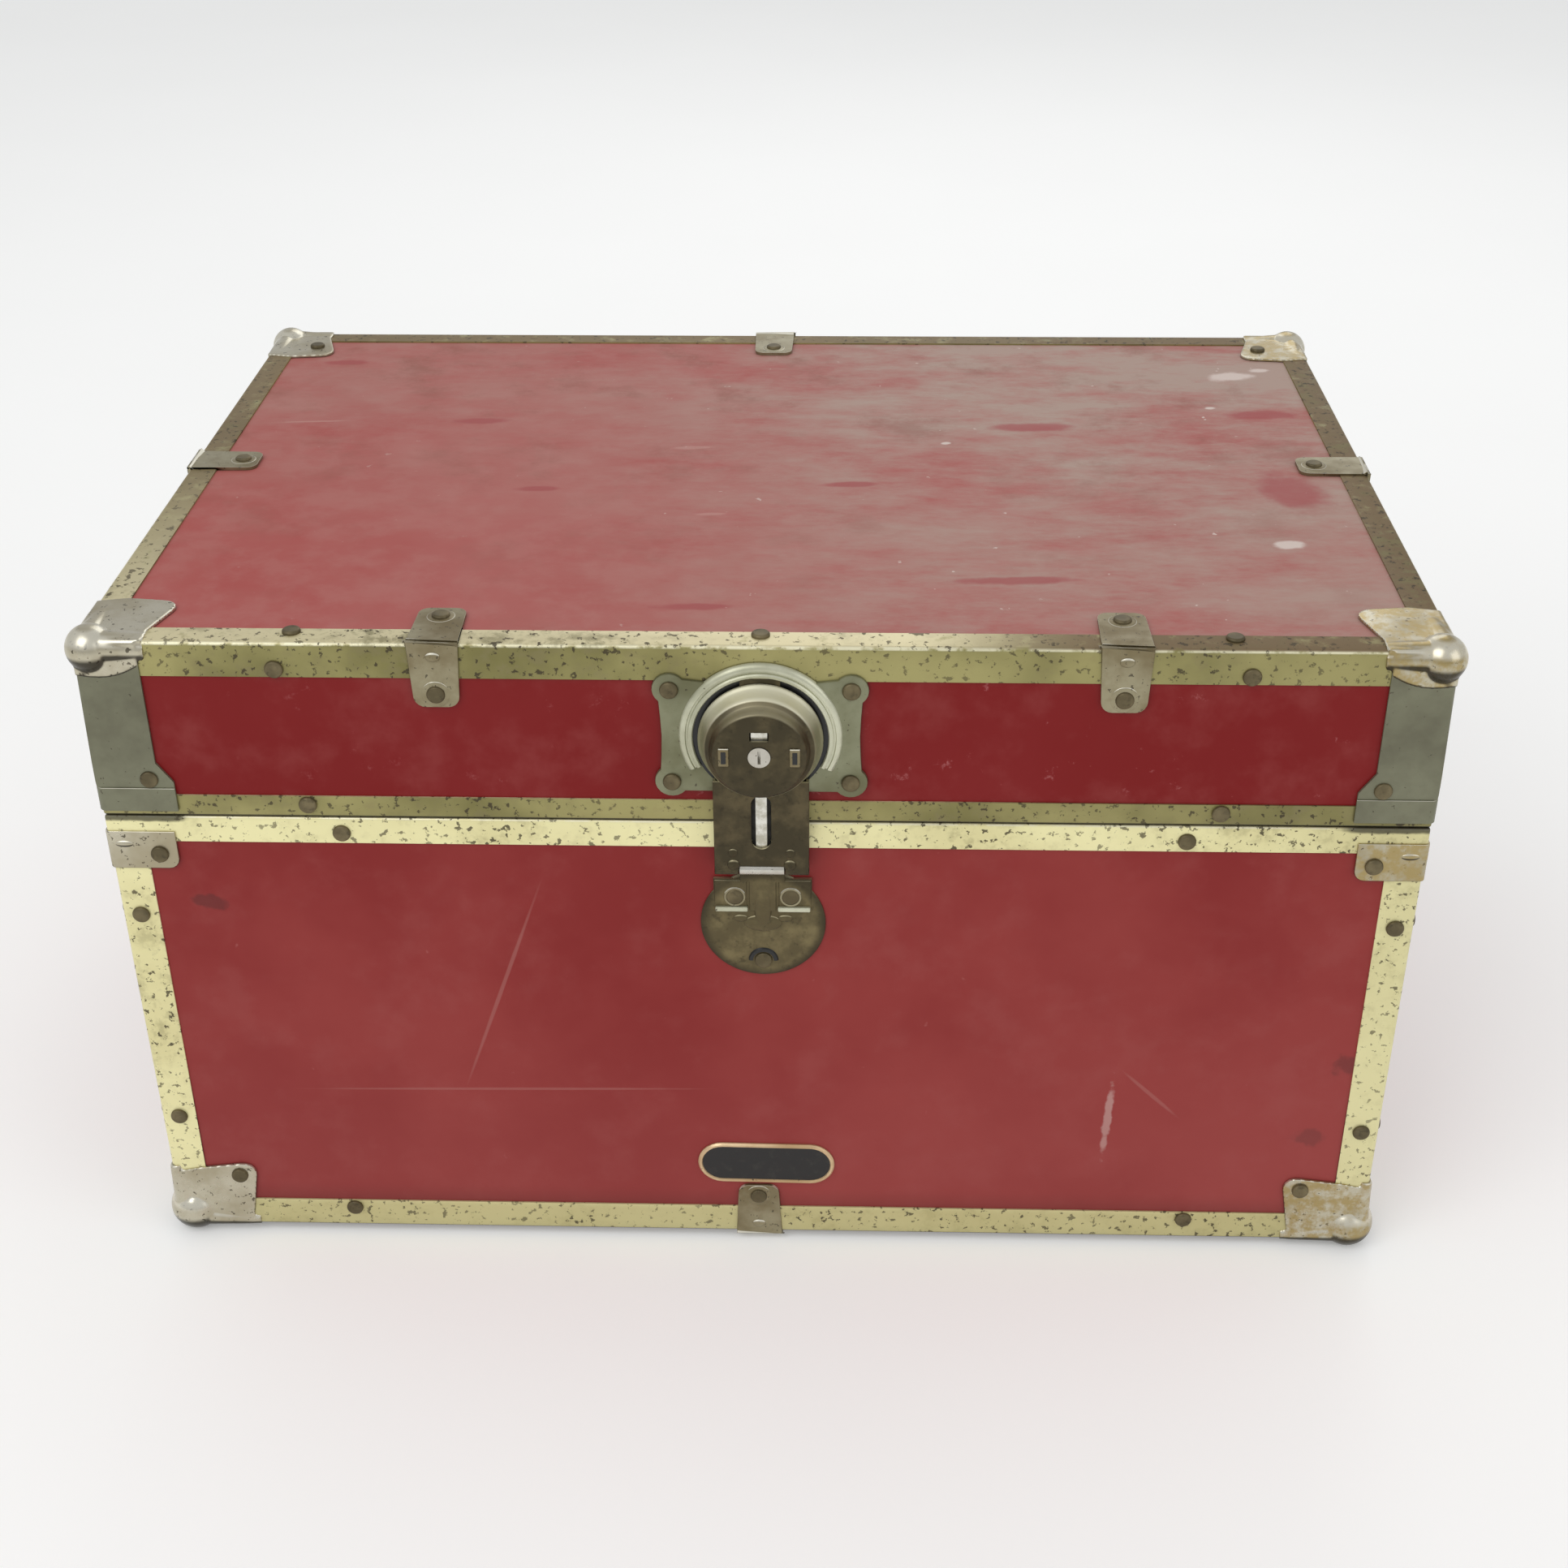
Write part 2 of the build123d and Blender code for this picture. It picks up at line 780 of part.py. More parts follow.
# Lock plate: four lobes round a raised ring that is open below, with a keeper lip at its top
hub_plane = Plane(origin=(0, front, hub_z), x_dir=(1, 0, 0), z_dir=(0, -1, 0))
with BuildPart() as hub_plate:
    with BuildSketch(hub_plane.offset(-gauge)):
        Rectangle(2 * hub_half_width, 2 * hub_half_height)
        with GridLocations(2 * hub_rivet_x, 2 * hub_rivet_z, 2, 2):
            Circle(hub_lobe)
        Circle(ring_outer)
        with Locations((0, -ring_outer)):
            Rectangle(2 * ring_outer, 2 * (ring_outer - hub_half_height), mode=Mode.SUBTRACT)
    extrude(amount=gauge + hub_gauge)
    with BuildSketch(hub_plane.offset(hub_gauge)):
        Circle(ring_outer)
        Circle(ring_inner, mode=Mode.SUBTRACT)
        with Locations((0, -ring_open_below - ring_outer)):
            Rectangle(2 * ring_outer, 2 * ring_outer, mode=Mode.SUBTRACT)
    extrude(amount=ring_rise)
    with BuildSketch(hub_plane.offset(hub_gauge + ring_rise - keeper_gauge)):
        Circle(ring_inner + 1)
        with Locations((0, keeper_rise - ring_outer)):
            Rectangle(2 * ring_outer, 2 * ring_outer, mode=Mode.SUBTRACT)
        for hand in hands:
            with Locations((hand * (keeper_half_width + ring_outer), 0)):
                Rectangle(2 * ring_outer, 2 * ring_outer, mode=Mode.SUBTRACT)
    extrude(amount=keeper_gauge)
    seat_on_lid()
    rivet_holes(hub_plate, hub_rivets)
save(hub_plate, "hub_plate")

# Hasp head, as a hollow dome turned about the lock's axis: radius, then reach from the lid
flange_back = hub_gauge + ring_rise + lock_clearance
flange_front = flange_back + head_wall
dome_plane = Plane(origin=(0, front, hub_z), x_dir=(1, 0, 0), z_dir=(0, 0, -1))
dome_step = flange_front + 0.5 * (head_reach - flange_front)
waist_radius = (head_front_radius + head_flange_radius) / 2
dome_outline = (
    (0, head_reach),
    (head_front_radius - front_edge, head_reach),
    (head_front_radius + rim_swell, head_reach - rim_drop),
    (waist_radius - step_neck, dome_step + step_rise),
    (waist_radius + step_swell, dome_step),
    (head_flange_radius - rim_drop, flange_front),
    (head_flange_radius, flange_front),
    (head_flange_radius, flange_back),
    (head_flange_radius - rim_drop - head_wall, flange_back),
    (waist_radius + step_swell - head_wall, dome_step - head_wall),
    (waist_radius - step_neck - head_wall, dome_step + step_rise - head_wall),
    (head_front_radius + front_edge / 2 - head_wall, head_reach - rim_drop - head_wall / 2),
    (head_front_radius - front_edge - head_wall, head_reach - head_wall),
    (0, head_reach - head_wall),
)
lock_axis = Axis((0, front, hub_z), (0, 1, 0))
barrel_radius = plug_radius + barrel_wall
barrel_back = front - strap_back + barrel_past_strap
strap_low = hasp_pin_z
strap_high = hub_z - head_front_radius + strap_into_head
slot_z = hub_z - slot_below_hub
guide_inner = catch_half_width + side_play
with BuildPart() as hasp:
    with BuildSketch(dome_plane):
        with BuildLine():
            Polyline(*dome_outline, close=True)
        make_face()
    revolve(axis=lock_axis)
    rod(
        barrel_radius,
        (0, front - head_reach + head_wall / 2, hub_z),
        (0, front - barrel_back, hub_z),
    )
    block((-strap_half_width, strap_face, strap_low), (strap_half_width, strap_back, strap_high))
    for hand in hands:
        edges = sorted((hand * strap_half_width, hand * (strap_half_width - strap_gauge)))
        block(
            (edges[0], strap_face, strap_low + hasp_knuckle_radius + flange_above_knuckle),
            (edges[1], front - flange_back, strap_high),
        )
        rails = sorted((hand * guide_inner, hand * (guide_inner + rail_gauge)))
        block(
            (rails[0], strap_face, slot_z - slot_height / 2 + rail_rise),
            (rails[1], front - flange_back, slot_z + slot_height / 2),
        )
        rod(
            hasp_knuckle_radius,
            (hand * strap_half_width, hasp_pin_y, hasp_pin_z),
            (hand * (centre_knuckle_half + side_play), hasp_pin_y, hasp_pin_z),
        )
        boss = sorted((hand * boss_x - boss_width / 2, hand * boss_x + boss_width / 2))
        block(
            (boss[0], front - lock_reach, hub_z - boss_height / 2),
            (boss[1], front - head_reach + head_wall / 2, hub_z + boss_height / 2),
        )
    block(
        (-centre_knuckle_half - side_play, strap_face - 1, strap_low - 1),
        (
            centre_knuckle_half + side_play,
            strap_back + 1,
            strap_low + hasp_knuckle_radius + side_play,
        ),
        Mode.SUBTRACT,
    )
    rod(
        hasp_pin_radius + running,
        (-strap_half_width, hasp_pin_y, hasp_pin_z),
        (strap_half_width, hasp_pin_y, hasp_pin_z),
        Mode.SUBTRACT,
    )
    rod(
        plug_radius + running,
        (0, front - lock_reach, hub_z),
        (0, front, hub_z),
        Mode.SUBTRACT,
    )
    slot_plane = Plane(origin=(0, strap_face - 1, slot_z), x_dir=(1, 0, 0), z_dir=(0, -1, 0))
    with BuildSketch(slot_plane):
        SlotOverall(slot_height, slot_width, rotation=90)
    extrude(amount=-strap_gauge - 2, mode=Mode.SUBTRACT)
    block(
        (-guide_inner, strap_back, hub_z - head_flange_radius - 1),
        (guide_inner, front, hub_z - head_front_radius + passage_into_head),
        Mode.SUBTRACT,
    )
    block(
        (-window_width / 2, front - lock_reach, hub_z + window_up - window_height / 2),
        (
            window_width / 2,
            front - head_reach + head_wall + 1,
            hub_z + window_up + window_height / 2,
        ),
        Mode.SUBTRACT,
    )
save(hasp, "hasp")

with BuildPart() as hasp_pin:
    rod(
        hasp_pin_radius,
        (-strap_half_width, hasp_pin_y, hasp_pin_z),
        (strap_half_width, hasp_pin_y, hasp_pin_z),
    )
save(hasp_pin, "hasp_pin")

# Key plug: turns in the barrel, and its crank lifts the catch
catch_face = strap_back + catch_off_strap + catch_rib_rise
catch_back = catch_face + catch_gauge
collar_front = front - barrel_back + side_play
collar_back = catch_face - side_play
crank_z = hub_z - crank_offset
with BuildPart() as key_plug:
    rod(plug_radius, (0, front - head_reach - plug_proud, hub_z), (0, collar_back, hub_z))
    rod(plug_radius + plug_collar, (0, collar_front, hub_z), (0, collar_back, hub_z))
    rod(
        crank_radius,
        (-crank_offset, collar_front, crank_z),
        (-crank_offset, catch_back + catch_off_strap, crank_z),
    )
    block(
        (-keyway_width / 2, front - lock_reach, hub_z - keyway_height / 2),
        (keyway_width / 2, front - head_reach + keyway_depth, hub_z + keyway_height / 2),
        Mode.SUBTRACT,
    )
save(key_plug, "key_plug")

# Sliding catch: a plate behind the strap, its rib in the slot, its tongue under the keeper
catch_low = slot_z - slot_height / 2 - catch_end
catch_high = hub_z + window_up + catch_above_window
tongue_back = hub_face - tongue_play
tongue_top = hub_z + keeper_rise - tongue_short
crank_hole = crank_radius + crank_play
with BuildPart() as catch:
    block((-catch_half_width, catch_face, catch_low), (catch_half_width, catch_back, catch_high))
    block(
        (-catch_rib_width / 2, catch_face - catch_rib_rise, catch_low),
        (catch_rib_width / 2, catch_face, slot_z + slot_height / 2 + catch_end),
    )
    block(
        (-tongue_half_width, catch_face, catch_high - tongue_rise),
        (tongue_half_width, tongue_back, catch_high),
    )
    block(
        (-tongue_half_width, tongue_back - tongue_gauge, catch_high - tongue_rise),
        (tongue_half_width, tongue_back, tongue_top),
    )
    block(
        (
            -window_width / 2 + window_flag_play,
            front - head_reach + head_wall + window_flag_play,
            hub_z + window_up - window_flag_drop,
        ),
        (window_width / 2 - window_flag_play, catch_face, catch_high),
    )
    block(
        (-crank_offset * 2 ** 0.5 - crank_hole, catch_face - 1, crank_z - crank_hole),
        (-crank_offset + crank_hole, catch_back + 1, crank_z + crank_hole),
        Mode.SUBTRACT,
    )
save(catch, "catch")

# Shield plate on the body, with the middle knuckle of the hasp's hinge
with BuildPart() as shield_plate:
    with BuildSketch(Plane(origin=(0, front + gauge, shield_z), x_dir=(1, 0, 0), z_dir=(0, -1, 0))):
        Circle(shield_radius)
        with Locations((0, neck_rise / 2)):
            Rectangle(2 * neck_half_width, neck_rise)
    extrude(amount=shield_gauge)
    block(
        (
            -centre_knuckle_half,
            hasp_pin_y + hasp_knuckle_radius - gauge,
            shield_z + neck_rise - shield_web_drop,
        ),
        (centre_knuckle_half, front + gauge, hasp_pin_z + 1),
    )
    rod(
        hasp_knuckle_radius,
        (-centre_knuckle_half, hasp_pin_y, hasp_pin_z),
        (centre_knuckle_half, hasp_pin_y, hasp_pin_z),
    )
    rod(
        hasp_pin_radius + running,
        (-centre_knuckle_half, hasp_pin_y, hasp_pin_z),
        (centre_knuckle_half, hasp_pin_y, hasp_pin_z),
        Mode.SUBTRACT,
    )
    rivet_holes(shield_plate, shield_rivets)
save(shield_plate, "shield_plate")

# Back hinges: the body's leaf has the outer knuckles and the lid's leaf the middle one
hinge_y = back + hinge_out
notch = knuckle_radius + knuckle_notch


def hinge_leaf(centre_x, up, knuckles, seat, places):
    """Make one leaf, above or below the hinge line, with its own knuckles."""
    with BuildPart() as leaf:
        levels = sorted((seam + up * notch, seam + up * leaf_height))
        block(
            (centre_x - leaf_width / 2, back - gauge, levels[0]),
            (centre_x + leaf_width / 2, back + leaf_gauge, levels[1]),
        )
        for low_x, high_x in knuckles:
            reach = sorted((seam, seam + up * notch))
            block((low_x, back, reach[0]), (high_x, back + leaf_gauge, reach[1]))
            rod(knuckle_radius, (low_x, hinge_y, seam), (high_x, hinge_y, seam))
            rod(
                hinge_pin_radius + running,
                (low_x, hinge_y, seam),
                (high_x, hinge_y, seam),
                Mode.SUBTRACT,
            )
        seat()
        rivet_holes(leaf, places)
    return leaf


for hand, hand_name in ((-1, "left"), (1, "right")):
    centre_x = hand * hinge_x
    start = centre_x - leaf_width / 2
    end = centre_x + leaf_width / 2
    outer = (
        (start, start + knuckle_third - side_play),
        (end - knuckle_third + side_play, end),
    )
    inner = ((start + knuckle_third, end - knuckle_third),)
    body_leaf = hinge_leaf(centre_x, -1, outer, seat_on_body, hinge_body_rivets)
    save(body_leaf, f"hinge_body_leaf_{hand_name}")
    lid_leaf = hinge_leaf(centre_x, 1, inner, seat_on_lid, hinge_lid_rivets)
    save(lid_leaf, f"hinge_lid_leaf_{hand_name}")

with BuildPart() as hinge_pins:
    for hand in hands:
        centre_x = hand * hinge_x
        half_leaf = leaf_width / 2
        half_pin = half_leaf + hinge_pin_head_gauge
        rod(
            hinge_pin_radius,
            (centre_x - half_pin, hinge_y, seam),
            (centre_x + half_pin, hinge_y, seam),
        )
        for step in hands:
            rod(
                hinge_pin_head,
                (centre_x + step * half_leaf, hinge_y, seam),
                (centre_x + step * half_pin, hinge_y, seam),
            )
save(hinge_pins, "hinge_pins")

# End handles: two eyes on each end wall, and a bail with a grip that hangs from them
for hand, hand_name in ((-1, "left"), (1, "right")):
    eye_x = hand * (half_width + eye_out)
    wall_x = hand * (half_width - gauge)
    with BuildPart() as eyes:
        for step in hands:
            y = middle + step * eye_run
            plate_x = sorted((wall_x, wall_x + hand * eye_plate_gauge))
            block(
                (plate_x[0], y - eye_plate / 2, handle_z - eye_plate_height / 2),
                (plate_x[1], y + eye_plate / 2, handle_z + eye_plate_height / 2),
            )
            web_x = sorted((wall_x, eye_x))
            block(
                (web_x[0], y - eye_length / 2, handle_z - eye_radius),
                (web_x[1], y + eye_length / 2, handle_z + eye_radius),
            )
            ends = ((eye_x, y - eye_length / 2, handle_z), (eye_x, y + eye_length / 2, handle_z))
            rod(eye_radius, *ends)
            rod(rod_radius + running, *ends, Mode.SUBTRACT)
        rivet_holes(eyes, handle_rivets)
    save(eyes, f"handle_eyes_{hand_name}")

    pin_end = eye_run + eye_length / 2 + bail_past_eye
    with BuildPart() as bail:
        with BuildLine() as bail_path:
            FilletPolyline(
                (eye_x, middle + pin_end, handle_z),
                (eye_x, middle + bail_half_width, handle_z),
                (eye_x, middle + bail_half_width, handle_z - bail_drop),
                (eye_x, middle - bail_half_width, handle_z - bail_drop),
                (eye_x, middle - bail_half_width, handle_z),
                (eye_x, middle - pin_end, handle_z),
                radius=bail_round,
            )
        with BuildSketch(Plane(origin=(eye_x, middle + pin_end, handle_z), z_dir=(0, -1, 0))):
            Circle(rod_radius)
        sweep()
    save(bail, f"handle_bail_{hand_name}")

    grip_z = handle_z - bail_drop
    grip_ends = (
        (eye_x, middle - grip_half_length, grip_z),
        (eye_x, middle + grip_half_length, grip_z),
    )
    with BuildPart() as grip:
        rod(grip_radius, *grip_ends)
        fillet(grip.edges(), grip_round)
        rod(rod_radius + running, *grip_ends, Mode.SUBTRACT)
    save(grip, f"handle_grip_{hand_name}")

# Rivets, grouped by what they hold
save(rivets(body_binding_places), "body_binding_rivets")
save(rivets(body_cap_places + bottom_clip_rivets), "body_cap_rivets")
save(rivets(shield_rivets + handle_rivets + hinge_body_rivets), "body_fitting_rivets")
save(rivets(lid_binding_places), "lid_binding_rivets")
save(rivets(lid_cap_places + lid_clip_rivets), "lid_cap_rivets")
save(rivets(hub_rivets + hinge_lid_rivets), "lid_fitting_rivets")
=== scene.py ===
import math

import bmesh
import bpy
from mathutils import Matrix, Vector


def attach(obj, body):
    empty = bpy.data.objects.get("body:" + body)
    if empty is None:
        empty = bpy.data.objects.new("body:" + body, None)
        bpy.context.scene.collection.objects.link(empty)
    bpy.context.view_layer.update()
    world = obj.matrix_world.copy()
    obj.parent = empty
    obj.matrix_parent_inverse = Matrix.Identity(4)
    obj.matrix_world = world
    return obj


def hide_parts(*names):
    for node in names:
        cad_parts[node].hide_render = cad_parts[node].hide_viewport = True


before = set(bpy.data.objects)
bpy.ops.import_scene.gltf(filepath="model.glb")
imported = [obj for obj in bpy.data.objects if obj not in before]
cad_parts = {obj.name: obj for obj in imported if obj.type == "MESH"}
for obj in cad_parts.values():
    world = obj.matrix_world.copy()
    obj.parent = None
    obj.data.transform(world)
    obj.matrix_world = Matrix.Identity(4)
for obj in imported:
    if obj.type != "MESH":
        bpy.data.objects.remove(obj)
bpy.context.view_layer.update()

# Sizes in millimetres, as the trunk's solids have them
MM = 0.001
HALF_WIDTH = 305.0
FRONT = -200.3
BACK = 213.7
MIDDLE = (FRONT + BACK) / 2
HALF_DEPTH = (BACK - FRONT) / 2
BASE = 5.0
TOP = 343.0
BODY_RIM = 252.7
LID_RIM = 253.3
WALL = 8.0
GAUGE = 0.8
FOLD = 2.0
RIM_FOLD = 1.1
CAP_PROUD = 1.0
HUB_Z = 298.5
PIN_Z = 230.7
PIN_Y = -204.7
STRAP_FACE = -207.9
STRAP_BACK = -206.5
SHIELD_Z = 196.9
SHIELD_RIVET_X = 13.1
SHIELD_RIVET_RISE = 15.8
SHIELD_RIVET_DROP = 20.3
NAMEPLATE_Z = 50.0
EYE_X = 313.5
GRIP_Z = 111.0
LEAF_DEPTH = 3.4
VOXEL = 0.62
INSIDE = (0.0, MIDDLE, 170.0)
SHARP = math.radians(38)
HANDS = (-1, 1)
CORNERS = {
    "front_left": (-1, -1),
    "front_right": (1, -1),
    "back_left": (-1, 1),
    "back_right": (1, 1),
}


def srgb(red, green, blue):
    """A colour from the usual 0 to 255 values, as the shaders take it."""
    parts = [value / 255 for value in (red, green, blue)]
    return tuple(
        part / 12.92 if part <= 0.04045 else ((part + 0.055) / 1.055) ** 2.4 for part in parts
    ) + (1.0,)


class Finish:
    """A finish in the making: each call adds a node and gives back what it puts out."""

    def __init__(self, name, metallic=0.0):
        self.material = bpy.data.materials.new(name)
        self.material.use_nodes = True
        self.tree = self.material.node_tree
        self.shader = self.tree.nodes["Principled BSDF"]
        self.shader.inputs["Metallic"].default_value = metallic
        self.place = self.add("ShaderNodeTexCoord").outputs["Object"]

    def put(self, socket, value):
        if isinstance(value, bpy.types.NodeSocket):
            self.tree.links.new(value, socket)
        else:
            socket.default_value = value

    def add(self, kind, inputs=(), **settings):
        node = self.tree.nodes.new(kind)
        for name, value in settings.items():
            setattr(node, name, value)
        for key, value in dict(inputs).items():
            self.put(node.inputs[key], value)
        return node

    def noise(self, scale, detail=3.0, rough=0.55, place=None, warp=0.0):
        inputs = {
            "Vector": place or self.place,
            "Scale": scale,
            "Detail": detail,
            "Roughness": rough,
            "Distortion": warp,
        }
        return self.add("ShaderNodeTexNoise", inputs).outputs["Fac"]

    def stretched(self, x, y, z):
        scale = {"Vector": self.place, "Scale": (x, y, z)}
        return self.add("ShaderNodeMapping", scale).outputs["Vector"]

    def band(self, value, low, high):
        """Nothing below low, all of it above high, and a soft step between."""
        inputs = {"Value": value, "From Min": low, "From Max": high}
        node = self.add("ShaderNodeMapRange", inputs, interpolation_type="SMOOTHSTEP")
        return node.outputs["Result"]

    def math(self, operation, first, second=0.0):
        node = self.add("ShaderNodeMath", operation=operation)
        self.put(node.inputs[0], first)
        self.put(node.inputs[1], second)
        return node.outputs[0]

    def times(self, *values):
        result = values[0]
        for value in values[1:]:
            result = self.math("MULTIPLY", result, value)
        return result

    def most(self, *values):
        result = values[0]
        for value in values[1:]:
            result = self.math("MAXIMUM", result, value)
        return result

    def rest_of(self, value):
        return self.math("SUBTRACT", 1.0, value)

    def mix(self, share, first, second):
        node = self.add("ShaderNodeMix", data_type="RGBA")
        for index, value in ((0, share), (6, first), (7, second)):
            self.put(node.inputs[index], value)
        return node.outputs[2]

    def level(self, share, first, second):
        """A number that runs from first to second."""
        inputs = {"Value": share, "To Min": first, "To Max": second}
        return self.add("ShaderNodeMapRange", inputs).outputs["Result"]

    def axes(self, vector=None):
        return self.add("ShaderNodeSeparateXYZ", {"Vector": vector or self.place}).outputs

    def facing(self):
        """Which way the surface faces, along the trunk's own axes."""
        return self.axes(self.add("ShaderNodeTexCoord").outputs["Normal"])

    def spot(self, centre, radii, turn=0.0, ragged=0.25, grain=60.0):
        """A soft-edged mark round a place, in millimetres; a long radius ignores its axis."""
        inputs = {
            "Vector": self.place,
            "Location": [value * MM for value in centre],
            "Rotation": turn if isinstance(turn, tuple) else (0, 0, turn),
            "Scale": [value * MM for value in radii],
        }
        local = self.add("ShaderNodeMapping", inputs, vector_type="TEXTURE").outputs["Vector"]
        far = self.add("ShaderNodeVectorMath", {0: local}, operation="LENGTH").outputs["Value"]
        edge = self.math("SUBTRACT", self.noise(grain, 4.0), 0.5)
        far = self.math("ADD", far, self.times(edge, ragged * 4))
        return self.rest_of(self.band(far, 0.55, 1.1))

    def from_axis(self, height):
        """How far a point lies from an axis that runs front to back at a height."""
        inputs = {
            "Vector": self.place,
            "Location": (0.0, 0.0, height * MM),
            "Scale": (1.0, 1000.0, 1.0),
        }
        local = self.add("ShaderNodeMapping", inputs, vector_type="TEXTURE").outputs["Vector"]
        return self.add("ShaderNodeVectorMath", {0: local}, operation="LENGTH").outputs["Value"]

    def bump(self, height, strength, reach=0.0004):
        inputs = {"Height": height, "Strength": strength, "Distance": reach}
        if self.shader.inputs["Normal"].is_linked:
            inputs["Normal"] = self.shader.inputs["Normal"].links[0].from_socket
        self.put(self.shader.inputs["Normal"], self.add("ShaderNodeBump", inputs).outputs[0])

    def done(self, colour, roughness):
        self.put(self.shader.inputs["Base Color"], colour)
        self.put(self.shader.inputs["Roughness"], roughness)
        return self.material


FLAKES = (
    ((256, 147, 343), (15, 7, 30)),
    ((275, 157, 343), (8, 3.5, 30)),
    ((250, -87, 343), (9, 5, 30)),
    ((238, 96, 343), (4, 2.5, 30)),
    ((90, 42, 343), (3, 2, 30)),
)
CLEAN_STREAKS = (
    ((-164, 71, 343), (16, 5, 30)),
    ((-121, -23, 343), (13, 4, 30)),
    ((40, -15, 343), (18, 4, 30)),
    ((137, 66, 343), (26, 7, 30)),
    ((262, 86, 343), (24, 7, 30)),
    ((116, -129, 343), (30, 5, 30)),
    ((-30, -159, 343), (22, 4, 30)),
    ((-255, 164, 343), (14, 5, 30)),
    ((262, -20, 343), (20, 26, 30)),
)
TOP_MARKS = (
    ((-44, 34, 343), (12, 2.5, 30)),
    ((-30, -54, 343), (9, 2, 30)),
    ((-258, 69, 343), (22, 1.2, 30)),
)
SOOT = (
    ((282, -199, 118), (9, 60, 6)),
    ((269, -199, 72), (8, 60, 5)),
    ((-262, -199, 205), (10, 60, 4)),
)


def fibre(name, on_lid):
    """Smooth red fibre sheet, dulled by dust, with scuffs, scratches and chips; the lid's top is
    paler, partly dust and partly painted sheen, and the body is lighter low down, partly painted
    floor light.
    """
    sheet = Finish(name)
    x, y, z = sheet.axes()
    cloud = sheet.noise(5.0, 5.0, 0.6)
    mottle = sheet.noise(38.0, 4.0, 0.6)
    grain = sheet.noise(420.0, 3.0)
    if on_lid:
        clean, dull = srgb(122, 12, 13), srgb(127, 24, 25)
    else:
        clean, dull = srgb(132, 34, 33), srgb(147, 54, 51)
    colour = sheet.mix(sheet.band(cloud, 0.36, 0.66), clean, dull)
    blotches = sheet.times(sheet.band(mottle, 0.45, 0.75), 0.22)
    colour = sheet.mix(blotches, colour, srgb(160, 84, 80))
    if on_lid:
        # The lid's top gets a paler colour: partly dust and bloom, partly painted sheen of light
        # from above.
        upward = sheet.band(sheet.facing()["Z"], 0.5, 0.9)
        top_dust_and_sheen = sheet.mix(sheet.band(cloud, 0.3, 0.7), srgb(168, 70, 66), srgb(175, 97, 91))
        bloom = sheet.times(sheet.band(mottle, 0.4, 0.66), 0.3)
        top_dust_and_sheen = sheet.mix(bloom, top_dust_and_sheen, srgb(182, 124, 116))
        streaky = sheet.noise(13.0, 9.0, 0.7, sheet.stretched(0.6, 1.25, 1.0), 0.12)
        right = sheet.band(x, -0.16, 0.14)
        rear = sheet.band(y, -0.2, 0.2)
        reach = sheet.math("ADD", sheet.times(right, 0.85), sheet.times(rear, 0.42))
        scoured = sheet.noise(60.0, 8.0, 0.75, sheet.stretched(0.5, 1.4, 1.0))
        streaky = sheet.math("ADD", sheet.times(streaky, 0.65), sheet.times(scoured, 0.35))
        dusty = sheet.times(sheet.band(streaky, 0.28, 0.66), reach)
        top_dust_and_sheen = sheet.mix(dusty, top_dust_and_sheen, srgb(176, 150, 137))
        rusty = sheet.times(
            sheet.band(sheet.noise(21.0, 7.0, 0.7), 0.5, 0.72), sheet.level(rear, 0.15, 0.6))
        top_dust_and_sheen = sheet.mix(rusty, top_dust_and_sheen, srgb(142, 84, 70))
        wipes = sheet.most(*(sheet.spot(place, size, 0.05) for place, size in CLEAN_STREAKS))
        top_dust_and_sheen = sheet.mix(sheet.times(wipes, 0.75), top_dust_and_sheen, srgb(162, 74, 74))
        smears = sheet.most(*(sheet.spot(place, size, 0.08) for place, size in TOP_MARKS))
        top_dust_and_sheen = sheet.mix(sheet.times(smears, 0.5), top_dust_and_sheen, srgb(192, 146, 136))
        flecks = sheet.band(sheet.noise(105.0, 3.0, 0.7), 0.69, 0.75)
        flecks = sheet.times(flecks, sheet.level(right, 0.25, 0.9))
        chips = sheet.most(*(sheet.spot(place, size, 0.2, 0.4) for place, size in FLAKES))
        top_dust_and_sheen = sheet.mix(sheet.math("MAXIMUM", flecks, chips), top_dust_and_sheen, srgb(214, 196, 186))
        colour = sheet.mix(upward, colour, top_dust_and_sheen)
        colour = sheet.mix(
            sheet.times(
                sheet.rest_of(upward), sheet.level(right, 0.35, 1.0),
                sheet.band(sheet.noise(62.0, 5.0, 0.75), 0.62, 0.72), 0.7),
            colour, srgb(176, 104, 104))
    else:
        lines = sheet.most(
            sheet.spot((-127, -199, 156), (1.1, 60, 66), (0, 0.35, 0), 0.1),
            sheet.spot((-127, -199, 95), (104, 60, 0.9), (0, -0.016, 0), 0.1),
            sheet.spot((190, -199, 97), (1.2, 60, 22), (0, -0.8, 0), 0.1),
        )
        colour = sheet.mix(sheet.times(lines, 0.5), colour, srgb(166, 104, 98))
        tear = sheet.spot((170, -199, 80), (2.2, 60, 24), (0, 0.05, 0), 0.4, 180.0)
        colour = sheet.mix(sheet.times(tear, 0.55), colour, srgb(205, 176, 168))
        soot = sheet.most(*(sheet.spot(place, size, 0.0, 1.0) for place, size in SOOT))
        colour = sheet.mix(sheet.times(soot, 0.55), colour, srgb(86, 40, 38))
